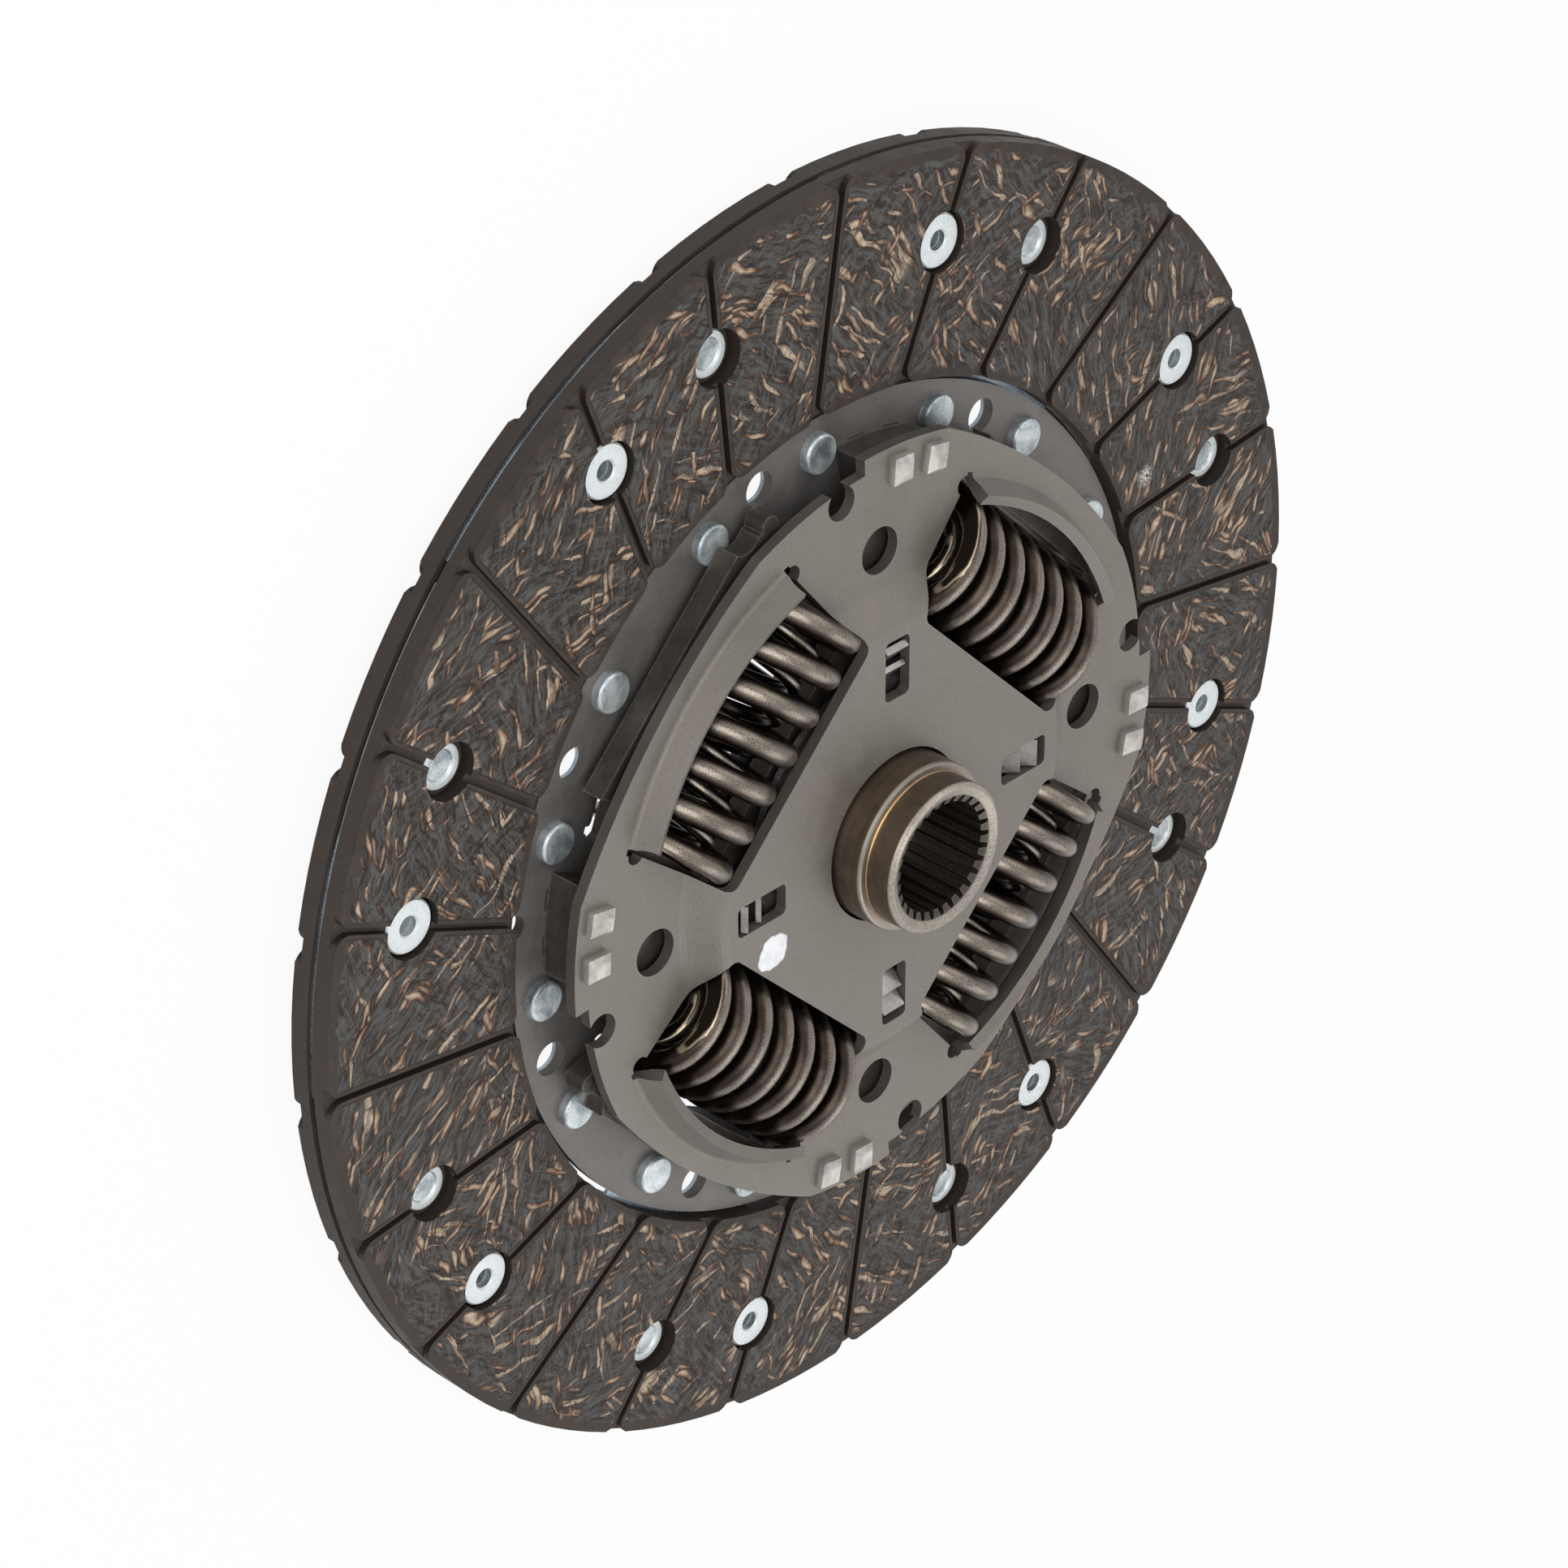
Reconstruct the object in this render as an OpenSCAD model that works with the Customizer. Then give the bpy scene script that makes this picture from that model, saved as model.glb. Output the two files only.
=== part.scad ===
// Clutch disc with a spring damper: two grooved facings on cushion segments, a drive plate
// and a dished cover plate that hold four nested spring pairs, and a splined hub with its flange.
// Z is the axis and points to the gearbox side. The disc lies on the rear end of its hub, at z = 0.

/* [Facings] */
// Outer radius of the friction facings
facing_r_out = 114; // [104:1:122]
// Inner radius of the friction facings
facing_r_in = 75; // [75:0.5:84]
// Thickness of one facing
facing_t = 3.5; // [3:0.1:4.2]
// Distance that the cushion segments keep between the facings
cushion_gap = 1.2; // [1:0.1:1.6]
// Height of the rear friction face over the rear end of the hub
rear_face_z = 2.8; // [2.2:0.1:5]

/* [Grooves] */
// Number of grooves on each facing
groove_count = 24; // [24:24:48]
// Width of a groove
groove_w = 1.2; // [0.8:0.1:1.8]
// Depth of a groove
groove_d = 1.3; // [0.8:0.1:1.6]
// Angle by which the inner end of a groove leads its outer end
groove_skew = 5; // [2:0.5:7]
// Angle of the first groove at the rim
groove_start = 0.3; // [0:0.1:2]
// Radius of the block corners beside a groove
block_round = 2.6; // [1:0.1:3.5]

/* [Facing rivets] */
// Radius of the ring of facing rivets
facing_rivet_ring = 98; // [92:1:104]
// Room round a rivet head in its counterbore
counterbore_play = 0.8; // [0.5:0.1:1.2]
// Facing left under a rivet head
counterbore_web = 0.6; // [0.4:0.1:1]
// Room round a flared rivet tail
tail_hole_play = 0.5; // [0.4:0.1:1]
// Radius of a facing rivet's head
rivet_head_r = 4.1; // [3.5:0.1:4.3]
// Thickness of a facing rivet's head
rivet_head_t = 0.6; // [0.4:0.1:0.8]
// Radius of a facing rivet's shank
rivet_shank_r = 2.2; // [1.8:0.1:2.6]
// Radius of the flared tail at its end
rivet_flare_r = 4.7; // [4:0.1:4.9]
// Depth of the flared tail's end under the friction face
rivet_flare_sink = 0.9; // [0.6:0.1:1.4]
// Thickness of the flared tail
rivet_flare_t = 0.8; // [0.6:0.1:1]
// Wall of the tubular shank
rivet_wall = 0.5; // [0.4:0.1:0.6]
// Width of the flat rim round a head's dished middle
rivet_rim_w = 1.2; // [0.9:0.1:1.6]
// Depth of the dished middle of a head
rivet_dish_d = 0.45; // [0.3:0.05:0.5]
// Width of the bead that holds a rivet against its segment
rivet_bead_w = 0.9; // [0.7:0.1:1.2]

/* [Cushion segments] */
// Number of cushion segments
segment_count = 8; // [8:1:8]
// Sheet thickness of a segment
segment_t = 0.7; // [0.5:0.1:0.9]
// Length of a segment's neck inside the facings
neck_len = 10.6; // [10.2:0.1:11]
// Distance of a segment's outer edge from the rim of the facings
segment_rim = 0.6; // [0.5:0.1:3]
// Angle that a segment's paddle covers
segment_span = 43.2; // [40:0.2:44]
// Angle that a segment's neck covers
neck_span = 30; // [28:1:34]
// Distance of a paddle's inner edge from the inner edge of the facings
paddle_inset = 0.5; // [0.3:0.1:1]
// Drop of the necks under the middle between the facings
neck_drop = 0.15; // [0.1:0.05:0.2]

/* [Drive plate] */
// Gap between the drive plate's rim and the facings
drive_play = 1; // [0.5:0.1:2]
// Sheet thickness of the drive plate and the cover plate
plate_t = 2; // [1.6:0.1:2.4]
// Wall of the guide bush in the drive plate's centre hole
bush_wall = 2.3; // [1.8:0.1:3]
// Distance of the segment rivets from the drive plate's rim
seg_rivet_in = 5.8; // [5.4:0.1:6.2]
// Angle of the first pair of segment rivets
seg_rivet_start = 14.9; // [14.9:0.1:15]
// Half the angle between the two rivets of a pair
seg_rivet_half = 10.65; // [9.5:0.05:11]
// Radius of a segment rivet's shank
seg_shank_r = 2; // [1.8:0.1:2.4]
// Radius of a segment rivet's head
seg_head_r = 3.5; // [3:0.1:3.9]
// Height of a segment rivet's front head
seg_head_h = 1.7; // [1.2:0.1:1.7]
// Rounding of a front head's edge
seg_head_round = 0.6; // [0.4:0.1:0.6]
// Height of a segment rivet's rear head
seg_tail_h = 1.3; // [1:0.1:1.5]
// Radius of the see-through holes between the pairs
sight_hole_r = 3; // [2:0.1:3.2]
// Distance of the see-through holes from the drive plate's rim
sight_in = 5.4; // [5:0.1:5.8]
// Radius of the balance notch in the rim
balance_notch_r = 2.4; // [1.5:0.1:2.8]
// Angle of the balance notch
balance_notch_angle = 81.8; // [81.5:0.1:82.5]

/* [Cover plate] */
// Clear height between the drive plate and the cover plate
plate_gap = 7.4; // [7.2:0.1:9]
// Radius of the cover plate's lobes
lobe_r = 69.4; // [68.8:0.1:70]
// Distance of the cover plate's edge from the axis at the middle of a window
cover_side = 64.6; // [64.2:0.1:65.6]
// Radius of the bowed edge beside a window
cover_bow_r = 122.5; // [110:0.5:135]
// Radius of the edge between a lobe and the bowed edge
cover_shelf_r = 66.6; // [66.2:0.1:67]
// Height of the raised centre over the rim
dish_h = 4.1; // [3.6:0.1:5]
// Radius at which the rise ends at the bottom
dish_r = 46.6; // [46:0.1:47]
// Radial length of the rise
dish_run = 7.4; // [6:0.1:8]
// Gap between the cover plate's centre hole and the hub
cover_hole_play = 0.55; // [0.3:0.05:1]
// Radius of the tooling holes
tooling_r = 4.15; // [3:0.05:4.6]
// Radius of the ring of tooling holes
tooling_ring = 51.7; // [51:0.1:52.5]
// Radius of the notches in the edge
edge_notch_r = 3; // [2:0.1:3.4]
// Distance of a notch's middle from the axis
edge_notch_ring = 64.4; // [64:0.1:65]
// Angle of a notch after the tooling hole
edge_notch_angle = 8; // [7:0.5:9]
// Angle after the tooling hole at which the edge steps in
shelf_from = 3; // [2:0.5:5]
// Angle after the tooling hole at which the step runs out
shelf_to = 24; // [20:1:28]
// Length of a tongue slot along the radius
slot_len = 11; // [10.5:0.1:11.5]
// Room beside a tongue in its slot
slot_play = 0.35; // [0.25:0.05:0.6]
// Distance of a slot's middle from the pressure plate's rim
slot_lead = 2.4; // [2.2:0.1:2.8]

/* [Windows] */
// Distance of the cover's window edge from a spring's inner side
window_step = 1.5; // [1:0.1:1.9]
// Distance of the drive plate's window edge from a spring's inner side
drive_window_step = -0.1; // [-0.9:0.1:0.1]
// Clearance between a spring's end and a window's side
window_play = 0.2; // [0.1:0.05:0.4]
// Slope of a window's sides, in degrees
window_flare = 6.1; // [5:0.1:7]
// Radius of a window's inner corners, in the cover plate
window_round = 2; // [1.6:0.1:2.4]
// Radius of a window's inner corners, in the drive plate
drive_window_round = 1.2; // [1:0.1:1.2]
// Radius of the relief holes at a window's outer corners
relief_r = 1.7; // [1:0.1:2]
// Distance of a relief hole's middle inside the corner of its lip
relief_inset = 2.2508; // [1.8:0.0001:2.6]
// Height of a window's lip over the sheet
lip_h = 4; // [3:0.1:4.4]
// Slope of a lip, in degrees
lip_slope = 62; // [60:1:64]
// Inner bend radius of a lip
lip_bend = 1; // [0.8:0.1:1.2]
// Distance from the axis to the middle of the arc that a lip follows
lip_mid = 3.5; // [2:0.5:4]
// Clearance between a lip and the spring beside it
lip_play = 0.3; // [0.2:0.05:0.5]
// Distance of a lip's end from the relief hole's middle
lip_trim = 1.2; // [1:0.1:1.3]

/* [Springs] */
// Free length of a damper spring
spring_len = 44.8; // [40:0.1:46]
// Distance of a spring's axis from the disc's axis
spring_ring = 42.3; // [42.2:0.1:42.4]
// Wire diameter of an outer spring
outer_wire = 4.3; // [3.6:0.1:4.4]
// Outside radius of an outer spring
outer_r = 12.6; // [12:0.1:12.6]
// Turns of an outer spring
outer_turns = 7; // [5:0.5:8]
// Wire diameter of an inner spring
inner_wire = 2.5; // [2:0.1:2.7]
// Gap between an inner spring and the outer one round it
nest_gap = 0.5; // [0.3:0.05:1]
// Turns of an inner spring
inner_turns = 9; // [7:0.5:11]

/* [Stop plates] */
// Outer radius of a stop plate
stop_r_out = 66.9; // [66:0.1:67.4]
// Inner radius of a stop plate
stop_r_in = 60; // [59.6:0.1:61]
// Angle that a stop plate covers at its outer edge
stop_span = 15.4; // [14:0.1:16]
// Slope of a stop plate's ends against its middle line, in degrees
stop_taper = 19; // [10:1:22]
// Angle of a stop plate's middle before the tooling hole
stop_lag = 7.2; // [6.5:0.1:8]
// Radial length of a lug
lug_len = 4.8; // [4:0.1:5.4]
// Width of a lug
lug_w = 4.2; // [3.4:0.1:4.6]
// Height of a lug over its plate
lug_h = 2.2; // [1.6:0.1:2.6]
// Half the angle between the two lugs of a stop plate
lug_half = 3.55; // [3.2:0.05:4.2]
// Distance of a lug's middle from the axis
lug_ring = 65.25; // [65:0.05:65.5]
// Bevel round a lug's end
lug_bevel = 0.9; // [0.5:0.1:1.2]

/* [Hub] */
// Number of spline teeth
spline_count = 28; // [20:1:32]
// Radius over the tips of the inner spline teeth
spline_tip_r = 9.8; // [8.5:0.05:10.6]
// Depth of the spline spaces
spline_depth = 1.25; // [1:0.05:1.8]
// Length of the hub
hub_len = 33.8; // [31:0.1:38]
// Radius of the hub's body
hub_r = 14.9; // [14.4:0.05:14.9]
// Step from the hub's body to its nose
nose_step = 1.55; // [1.1:0.05:2]
// Length of the nose in front of the shoulder
nose_len = 5.5; // [4:0.1:7]
// Width of the collar that carries the flange
collar_w = 5.1; // [4:0.1:7]
// Width of the rounding round the nose's rim
nose_round = 0.75; // [0.5:0.05:1]
// Length of the lead-in at either end of the spline
spline_lead = 1.2; // [0.8:0.1:1.6]

/* [Flange] */
// Thickness of the hub flange
flange_t = 4; // [3.6:0.1:4.2]
// Distance of the flange's window edge inside a spring's inner side
flange_window_play = 0.9; // [0.3:0.1:1.7]
// Clearance between the segment rivets and the flange
flange_play = 0.2; // [0.1:0.1:0.3]
// Distance of the flange's straight edges from the axis
flange_side = 63.5; // [62.8:0.1:64]
// Radius of the flange at the leading end of a window
flange_rim_r = 62; // [61.8:0.1:62.2]
// Gap between the flange and the stop plates under them
web_play = 2.4; // [2:0.1:3]
// Angle from a window's middle to the leading end of the straight edge
lobe_lead = 17.8; // [16:0.1:20]
// Angle from a window's middle to the flank that stops the hub turning one way
rim_lead = 24.3; // [24:0.1:25]
// Angle from a window's middle to the flank that stops the hub turning the other way
lobe_lag = 27.9; // [27:0.1:28.6]
// Radius of the nub at the lagging flank
nub_r = 68.6; // [68:0.1:69]
// Radius of the scoop beside the nub
scoop_r = 3.4; // [2.6:0.1:3.6]
// Distance of the scoop's bottom from the axis
scoop_floor = 66; // [65.6:0.1:66.4]
// Angle from a window's middle to the scoop
scoop_angle = 22.2; // [22:0.1:22.6]
// Radius of the nub's rounding
nub_round = 1.75; // [1.5:0.05:2]

/* [Friction parts] */
// Thickness of the front friction ring
front_ring_t = 1.5; // [1.2:0.1:1.7]
// Sheet thickness of the pressure plate
pressure_t = 1.2; // [1:0.1:1.3]
// Sheet thickness of the disc spring
disc_spring_t = 0.9; // [0.7:0.1:1]
// Distance of the friction parts inside the springs
friction_play = 1.1; // [0.9:0.1:2.5]
// Gap between the friction parts' bore and the hub
friction_bore_play = 1; // [0.7:0.1:2]
// Width of a tongue
tongue_w = 5; // [4:0.1:5.2]
// Length of a sloping tongue of the pressure plate
outer_tongue = 6.8; // [6:0.1:7]
// Length of a sloping tongue of the disc spring
inner_tongue = 4.6; // [4:0.1:4.8]
// Slope of the tongues, in degrees
tongue_slope = 43; // [40:1:48]
// Bend radius of the tongues
tongue_bend = 1.2; // [1:0.1:1.6]
// Thickness of the guide bush's collar
bush_collar_t = 1.2; // [1:0.1:1.4]
// Width of the guide bush's collar outside the drive plate's hole
bush_collar_w = 2.4; // [1.5:0.1:3]

/* [Fits] */
// Axial play between parts that turn against each other
turn_play = 0.1; // [0.05:0.05:0.2]
// Radial clearance of the guide bush on the hub
bush_play = 0.06; // [0.04:0.01:0.1]
// Radial clearance of pieces that are pressed or riveted together
seat_play = 0.02; // [0.01:0.01:0.05]

/* [Hidden] */
$fn = 96;
eps = 0.01;
through = 60;

// Radii that fit others
counterbore_r = rivet_head_r + counterbore_play;
tail_hole_r = rivet_flare_r + tail_hole_play;
rivet_bead_r = rivet_shank_r + rivet_bead_w;
rivet_dish_r = rivet_head_r - rivet_rim_w;
segment_r_in = facing_r_in - neck_len;
drive_r = facing_r_in - drive_play;
seg_rivet_ring = drive_r - seg_rivet_in;
sight_ring = drive_r - sight_in;
drive_hole_r = hub_r + bush_wall;
cover_hole_r = hub_r + cover_hole_play;
friction_bore_r = hub_r + friction_bore_play;
collar_r = hub_r + collar_w;
nose_r = hub_r - nose_step;
spline_root_r = spline_tip_r + spline_depth;
spring_in = spring_ring - outer_r;
spring_out = spring_ring + outer_r;
window_in = spring_in + window_step;
drive_window_in = spring_in + drive_window_step;
flange_window_in = spring_in - flange_window_play;
flange_web_r = stop_r_in - web_play;
friction_r_out = spring_in - friction_play;
pressure_r = friction_r_out + 0.6;
slot_ring = pressure_r + slot_lead;
slot_w = tongue_w + 2 * slot_play;
flange_gap = seg_head_h + flange_play;

// Heights
facing_back = facing_t + cushion_gap / 2;
mid_z = rear_face_z + facing_back;
front_back_z = mid_z + cushion_gap / 2;
front_face_z = front_back_z + facing_t;
rear_back_z = mid_z - cushion_gap / 2;

neck_z = mid_z - segment_t / 2 - neck_drop;
drive_z = neck_z + segment_t;
drive_front_z = drive_z + plate_t;
cover_z = drive_front_z + plate_gap;
cover_front_z = cover_z + plate_t;
dish_z = cover_z + dish_h;
flange_z = drive_front_z + flange_gap;
flange_top_z = flange_z + flange_t;
spring_z = flange_z + flange_t / 2;

// Distance of a groove's line from the axis, and where the line stands at a given radius
groove_chord = sqrt(pow(facing_r_out, 2) + pow(facing_r_in, 2)
    - 2 * facing_r_out * facing_r_in * cos(groove_skew));
groove_off = facing_r_out * facing_r_in * sin(groove_skew) / groove_chord;
function groove_angle(r) = groove_start + asin(groove_off / r) - asin(groove_off / facing_r_out);

// Of every three grooves one carries a rivet head, the next a rivet tail
groove_pitch = 360 / groove_count;
rivet_pitch = 3 * groove_pitch;
rivet_count = 360 / rivet_pitch;
head_angle = groove_angle(facing_rivet_ring) + groove_pitch;
tail_angle = head_angle + groove_pitch;
flip_angle = (head_angle + tail_angle) / 2;

segment_pitch = 360 / segment_count;
paddle_shift = flip_angle - seg_rivet_start;
paddle_r_in = facing_r_in + paddle_inset;
paddle_r_out = facing_r_out - segment_rim;
wave_run = 4;
neck_lap = 4;
neck_room = 0.4;

inner_r = outer_r - outer_wire - nest_gap;
window_half = spring_len / 2 + window_play;
lip_lap = 0.8;
lip_seam = 0.05;
lip_run = (lip_h - lip_bend * (1 - cos(lip_slope))) / sin(lip_slope);
lip_far = lip_bend + plate_t;
lip_wall_z = cover_z + lip_far * (1 - cos(lip_slope));
lip_wall_x = spring_ring
    + (outer_r + lip_play - (lip_wall_z - spring_z) * cos(lip_slope)) / sin(lip_slope);
lip_foot = norm([lip_wall_x - lip_mid, spring_len / 2]) + lip_far * sin(lip_slope);

// Corner between a lip's circle and the side of its window
side_grow = tan(window_flare);
side_start = window_half + (lip_mid - window_in) * side_grow;
corner_x = lip_mid + (sqrt((1 + pow(side_grow, 2)) * pow(lip_foot, 2) - pow(side_start, 2))
    - side_start * side_grow) / (1 + pow(side_grow, 2));
corner_y = window_half + (corner_x - window_in) * side_grow;
relief_ring = norm([corner_x, corner_y]) - relief_inset;
relief_near = 25;
relief_out = relief_ring * cos(relief_near) - window_in;
relief_angle = asin((window_half + relief_out * side_grow) / relief_ring);
relief_x = relief_ring * cos(relief_angle);
relief_y = relief_ring * sin(relief_angle);
lip_turn = atan2(relief_y, relief_x - lip_mid);
lip_angle = lip_turn - asin(lip_trim / norm([relief_x - lip_mid, relief_y]));

stack_z = flange_top_z + turn_play;
pressure_z = stack_z + front_ring_t;
disc_spring_z = pressure_z + pressure_t;
ring_inset = 1.4;

// A flat ring
module ring(r_out, r_in, h) {
    difference() {
        cylinder(r = r_out, h = h);
        translate([0, 0, -eps]) cylinder(r = r_in, h = h + 2 * eps);
    }
}

// A wedge of the plane from angle a0 to a1, under 180 degrees
module wedge(a0, a1, r) {
    polygon([[0, 0], [r * cos(a0), r * sin(a0)],
        [r * cos((a0 + a1) / 2) * 1.4, r * sin((a0 + a1) / 2) * 1.4], [r * cos(a1), r * sin(a1)]]);
}

// Turns what lies on the front over to the rear side, about the line between two rivets
module turned_over() {
    translate([0, 0, mid_z]) rotate([0, 0, flip_angle]) rotate([180, 0, 0])
        rotate([0, 0, -flip_angle]) translate([0, 0, -mid_z]) children();
}

// One groove, parallel to X at the distance groove_off, with its mouths rounded into both edges
module groove_mouth(edge_r, side) {
    // side is 1 at the rim and -1 at the inner edge
    corner_ring = edge_r - side * block_round;
    y_hi = groove_off + groove_w / 2 + block_round;
    y_lo = groove_off - groove_w / 2 - block_round;
    x_hi = sqrt(pow(corner_ring, 2) - pow(y_hi, 2));
    x_lo = sqrt(pow(corner_ring, 2) - pow(y_lo, 2));
    reach = (edge_r + side) / corner_ring;
    difference() {
        polygon([[x_hi, y_hi - block_round], [x_hi * reach, y_hi * reach],
            [x_lo * reach, y_lo * reach], [x_lo, y_lo + block_round]]);
        translate([x_hi, y_hi]) circle(r = block_round);
        translate([x_lo, y_lo]) circle(r = block_round);
    }
}

module groove_outline() {
    translate([facing_r_in / 2, groove_off - groove_w / 2]) square([facing_r_out, groove_w]);
    groove_mouth(facing_r_out, 1);
    groove_mouth(facing_r_in, -1);
}

module facing_body() {
    difference() {
        translate([0, 0, front_back_z]) ring(facing_r_out, facing_r_in, facing_t);
        translate([0, 0, front_face_z - groove_d]) for (k = [0 : groove_count - 1])
            rotate(k * groove_pitch + groove_start - asin(groove_off / facing_r_out))
                linear_extrude(height = groove_d + 1) groove_outline();
        for (k = [0 : rivet_count - 1]) {
            rotate(k * rivet_pitch + head_angle) translate([facing_rivet_ring, 0, front_back_z]) {
                translate([0, 0, counterbore_web]) cylinder(r = counterbore_r, h = facing_t);
                translate([0, 0, -1]) cylinder(r = rivet_shank_r + seat_play, h = facing_t);
            }
            rotate(k * rivet_pitch + tail_angle) translate([facing_rivet_ring, 0, front_back_z - 1])
                cylinder(r = tail_hole_r, h = facing_t + 2);
        }
    }
}

module front_facing() {
    color([0.25, 0.23, 0.21]) facing_body();
}

module rear_facing() {
    color([0.25, 0.23, 0.21]) turned_over() facing_body();
}

// A tubular rivet: head in the front facing, flared tail towards the rear facing's friction face
module facing_rivet() {
    seat_z = front_back_z + counterbore_web;
    head_z = seat_z + rivet_head_t;
    edge = rivet_head_t / 2;
    tail_z = rear_face_z + rivet_flare_sink;
    tail_top = front_back_z - segment_t;
    flare_z = tail_z + rivet_flare_t;
    bead_h = 0.5;
    waist_r = rivet_bead_r - bead_h;
    bore_r = rivet_shank_r - rivet_wall;
    bore_z = seat_z - rivet_wall;
    color([0.80, 0.82, 0.84]) rotate_extrude() difference() {
        polygon([
            [0, head_z], [rivet_head_r - edge, head_z], [rivet_head_r, head_z - edge], [rivet_head_r, seat_z],
            [rivet_shank_r, seat_z], [rivet_shank_r, tail_top], [rivet_bead_r, tail_top],
            [rivet_bead_r, tail_top - bead_h], [waist_r, tail_top - 2 * bead_h],
            [waist_r, flare_z + rivet_flare_t], [rivet_flare_r, flare_z], [rivet_flare_r, tail_z + edge],
            [rivet_flare_r - edge, tail_z], [0, tail_z]
        ]);
        polygon([
            [-1, tail_z - 1], [bore_r + edge, tail_z - 1], [bore_r + edge, tail_z],
            [bore_r, tail_z + edge], [bore_r, bore_z], [-1, bore_z]
        ]);
        polygon([
            [-1, head_z + 1], [rivet_dish_r, head_z + 1], [rivet_dish_r, head_z],
            [rivet_dish_r - rivet_dish_d, head_z - rivet_dish_d], [-1, head_z - rivet_dish_d]
        ]);
    }
}

module front_facing_rivets() {
    for (k = [0 : rivet_count - 1])
        rotate(k * rivet_pitch + head_angle) translate([facing_rivet_ring, 0, 0]) facing_rivet();
}

module rear_facing_rivets() {
    turned_over() front_facing_rivets();
}

// Wave of a paddle across the segment: high under a front rivet, low under a rear rivet
module wave_profile() {
    half = paddle_r_out;
    high = front_back_z - segment_t;
    polygon([
        [-half, high], [-wave_run, high], [wave_run, rear_back_z], [half, rear_back_z],
        [half, rear_back_z + segment_t], [wave_run, rear_back_z + segment_t],
        [-wave_run, high + segment_t], [-half, high + segment_t]
    ]);
}

module cushion_segment(i) {
    half_paddle = segment_span / 2;
    half_neck = neck_span / 2;
    color([0.45, 0.47, 0.50]) rotate((i - 1) * segment_pitch + seg_rivet_start) difference() {
        union() {
            intersection() {
                rotate(paddle_shift) rotate([90, 0, 90]) linear_extrude(height = facing_r_out)
                    wave_profile();
                linear_extrude(height = through) difference() {
                    intersection() {
                        circle(r = paddle_r_out);
                        wedge(paddle_shift - half_paddle, paddle_shift + half_paddle, 2 * facing_r_out);
                    }
                    circle(r = paddle_r_in);
                }
            }
            translate([0, 0, neck_z]) linear_extrude(height = segment_t) difference() {
                union() {
                    intersection() {
                        circle(r = paddle_r_in - neck_room);
                        wedge(-half_neck, half_neck, 2 * facing_r_out);
                    }
                    intersection() {
                        circle(r = paddle_r_in + neck_lap);
                        wedge(paddle_shift - half_paddle, half_neck, 2 * facing_r_out);
                    }
                }
                circle(r = segment_r_in);
            }
        }
        for (s = [-1, 1]) rotate(s * seg_rivet_half) translate([seg_rivet_ring, 0, 0])
            cylinder(r = seg_shank_r + seat_play, h = through);
        translate([sight_ring, 0, 0]) cylinder(r = sight_hole_r, h = through);
        for (a = [head_angle, tail_angle])
            rotate(a - seg_rivet_start) translate([facing_rivet_ring, 0, 0])
                cylinder(r = rivet_shank_r + seat_play, h = through);
    }
}

// A rivet through the drive plate and a segment, both its heads flat
module segment_rivet() {
    flat_r = seg_head_r - seg_head_round;
    wall_h = seg_head_h - seg_head_round;
    tail_in = 0.5;
    rotate_extrude() {
        translate([0, drive_front_z]) square([seg_head_r, wall_h]);
        translate([0, drive_front_z]) square([flat_r, seg_head_h]);
        translate([flat_r, drive_front_z + wall_h]) circle(r = seg_head_round);
        polygon([
            [0, drive_front_z + eps], [seg_shank_r, drive_front_z + eps], [seg_shank_r, neck_z],
            [seg_head_r, neck_z], [seg_head_r - tail_in, neck_z - seg_tail_h], [0, neck_z - seg_tail_h]
        ]);
    }
}

module segment_rivets() {
    color([0.75, 0.77, 0.79]) for (k = [0 : segment_count - 1]) for (s = [-1, 1])
        rotate(k * segment_pitch + seg_rivet_start + s * seg_rivet_half)
            translate([seg_rivet_ring, 0, 0]) segment_rivet();
}

// The outline of one window with its rounded inner corners, its middle line along X
module window_outline(inner, half, round_r) {
    grow = tan(window_flare);
    side_y = half + (relief_x - inner) * grow;
    far_x = lip_mid + 2 * lip_foot * cos(lip_turn);
    far_y = 2 * lip_foot * sin(lip_turn);
    intersection() {
        union() {
            polygon([
                [inner, -half + round_r], [inner, half - round_r],
                [inner + round_r, half + round_r * grow], [relief_x, side_y], [far_x, far_y],
                [far_x, -far_y], [relief_x, -side_y], [inner + round_r, -half - round_r * grow]
            ]);
            for (s = [-1, 1]) translate([inner + round_r, s * (half - round_r)]) circle(r = round_r);
        }
        translate([lip_mid, 0]) circle(r = lip_foot + lip_seam);
    }
}

// Outline of a sheet that lies flat, bends upwards round an inner radius and runs on along its slope
function bent_sheet(flat, sheet, bend, slope, run, steps = 6) =
    let (far = bend + sheet, turn = slope / steps, out = [run * cos(slope), run * sin(slope)],
        under = [for (k = [0 : steps]) [far * sin(turn * k), far - far * cos(turn * k)]],
        over = [for (k = [steps : -1 : 0]) [bend * sin(turn * k), far - bend * cos(turn * k)]])
    concat([[-flat, 0]], under, [under[steps] + out, over[0] + out], over, [[-flat, sheet]]);

// The four lips of a plate whose upper side lies at z = 0
module window_lips() {
    for (k = [0 : 3]) rotate(45 + 90 * k) translate([lip_mid, 0, 0]) rotate(-lip_angle)
        rotate_extrude(angle = 2 * lip_angle) translate([lip_foot, -plate_t]) mirror([1, 0])
            polygon(bent_sheet(lip_lap, plate_t, lip_bend, lip_slope, lip_run));
}

module window_cuts(inner, round_r) {
    for (k = [0 : 3]) rotate(45 + 90 * k) linear_extrude(height = through)
        window_outline(inner, window_half, round_r);
}

module relief_cuts() {
    for (k = [0 : 3]) for (s = [-1, 1]) rotate(45 + 90 * k)
        translate([relief_x, s * relief_y, 0]) cylinder(r = relief_r, h = through);
}

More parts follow.
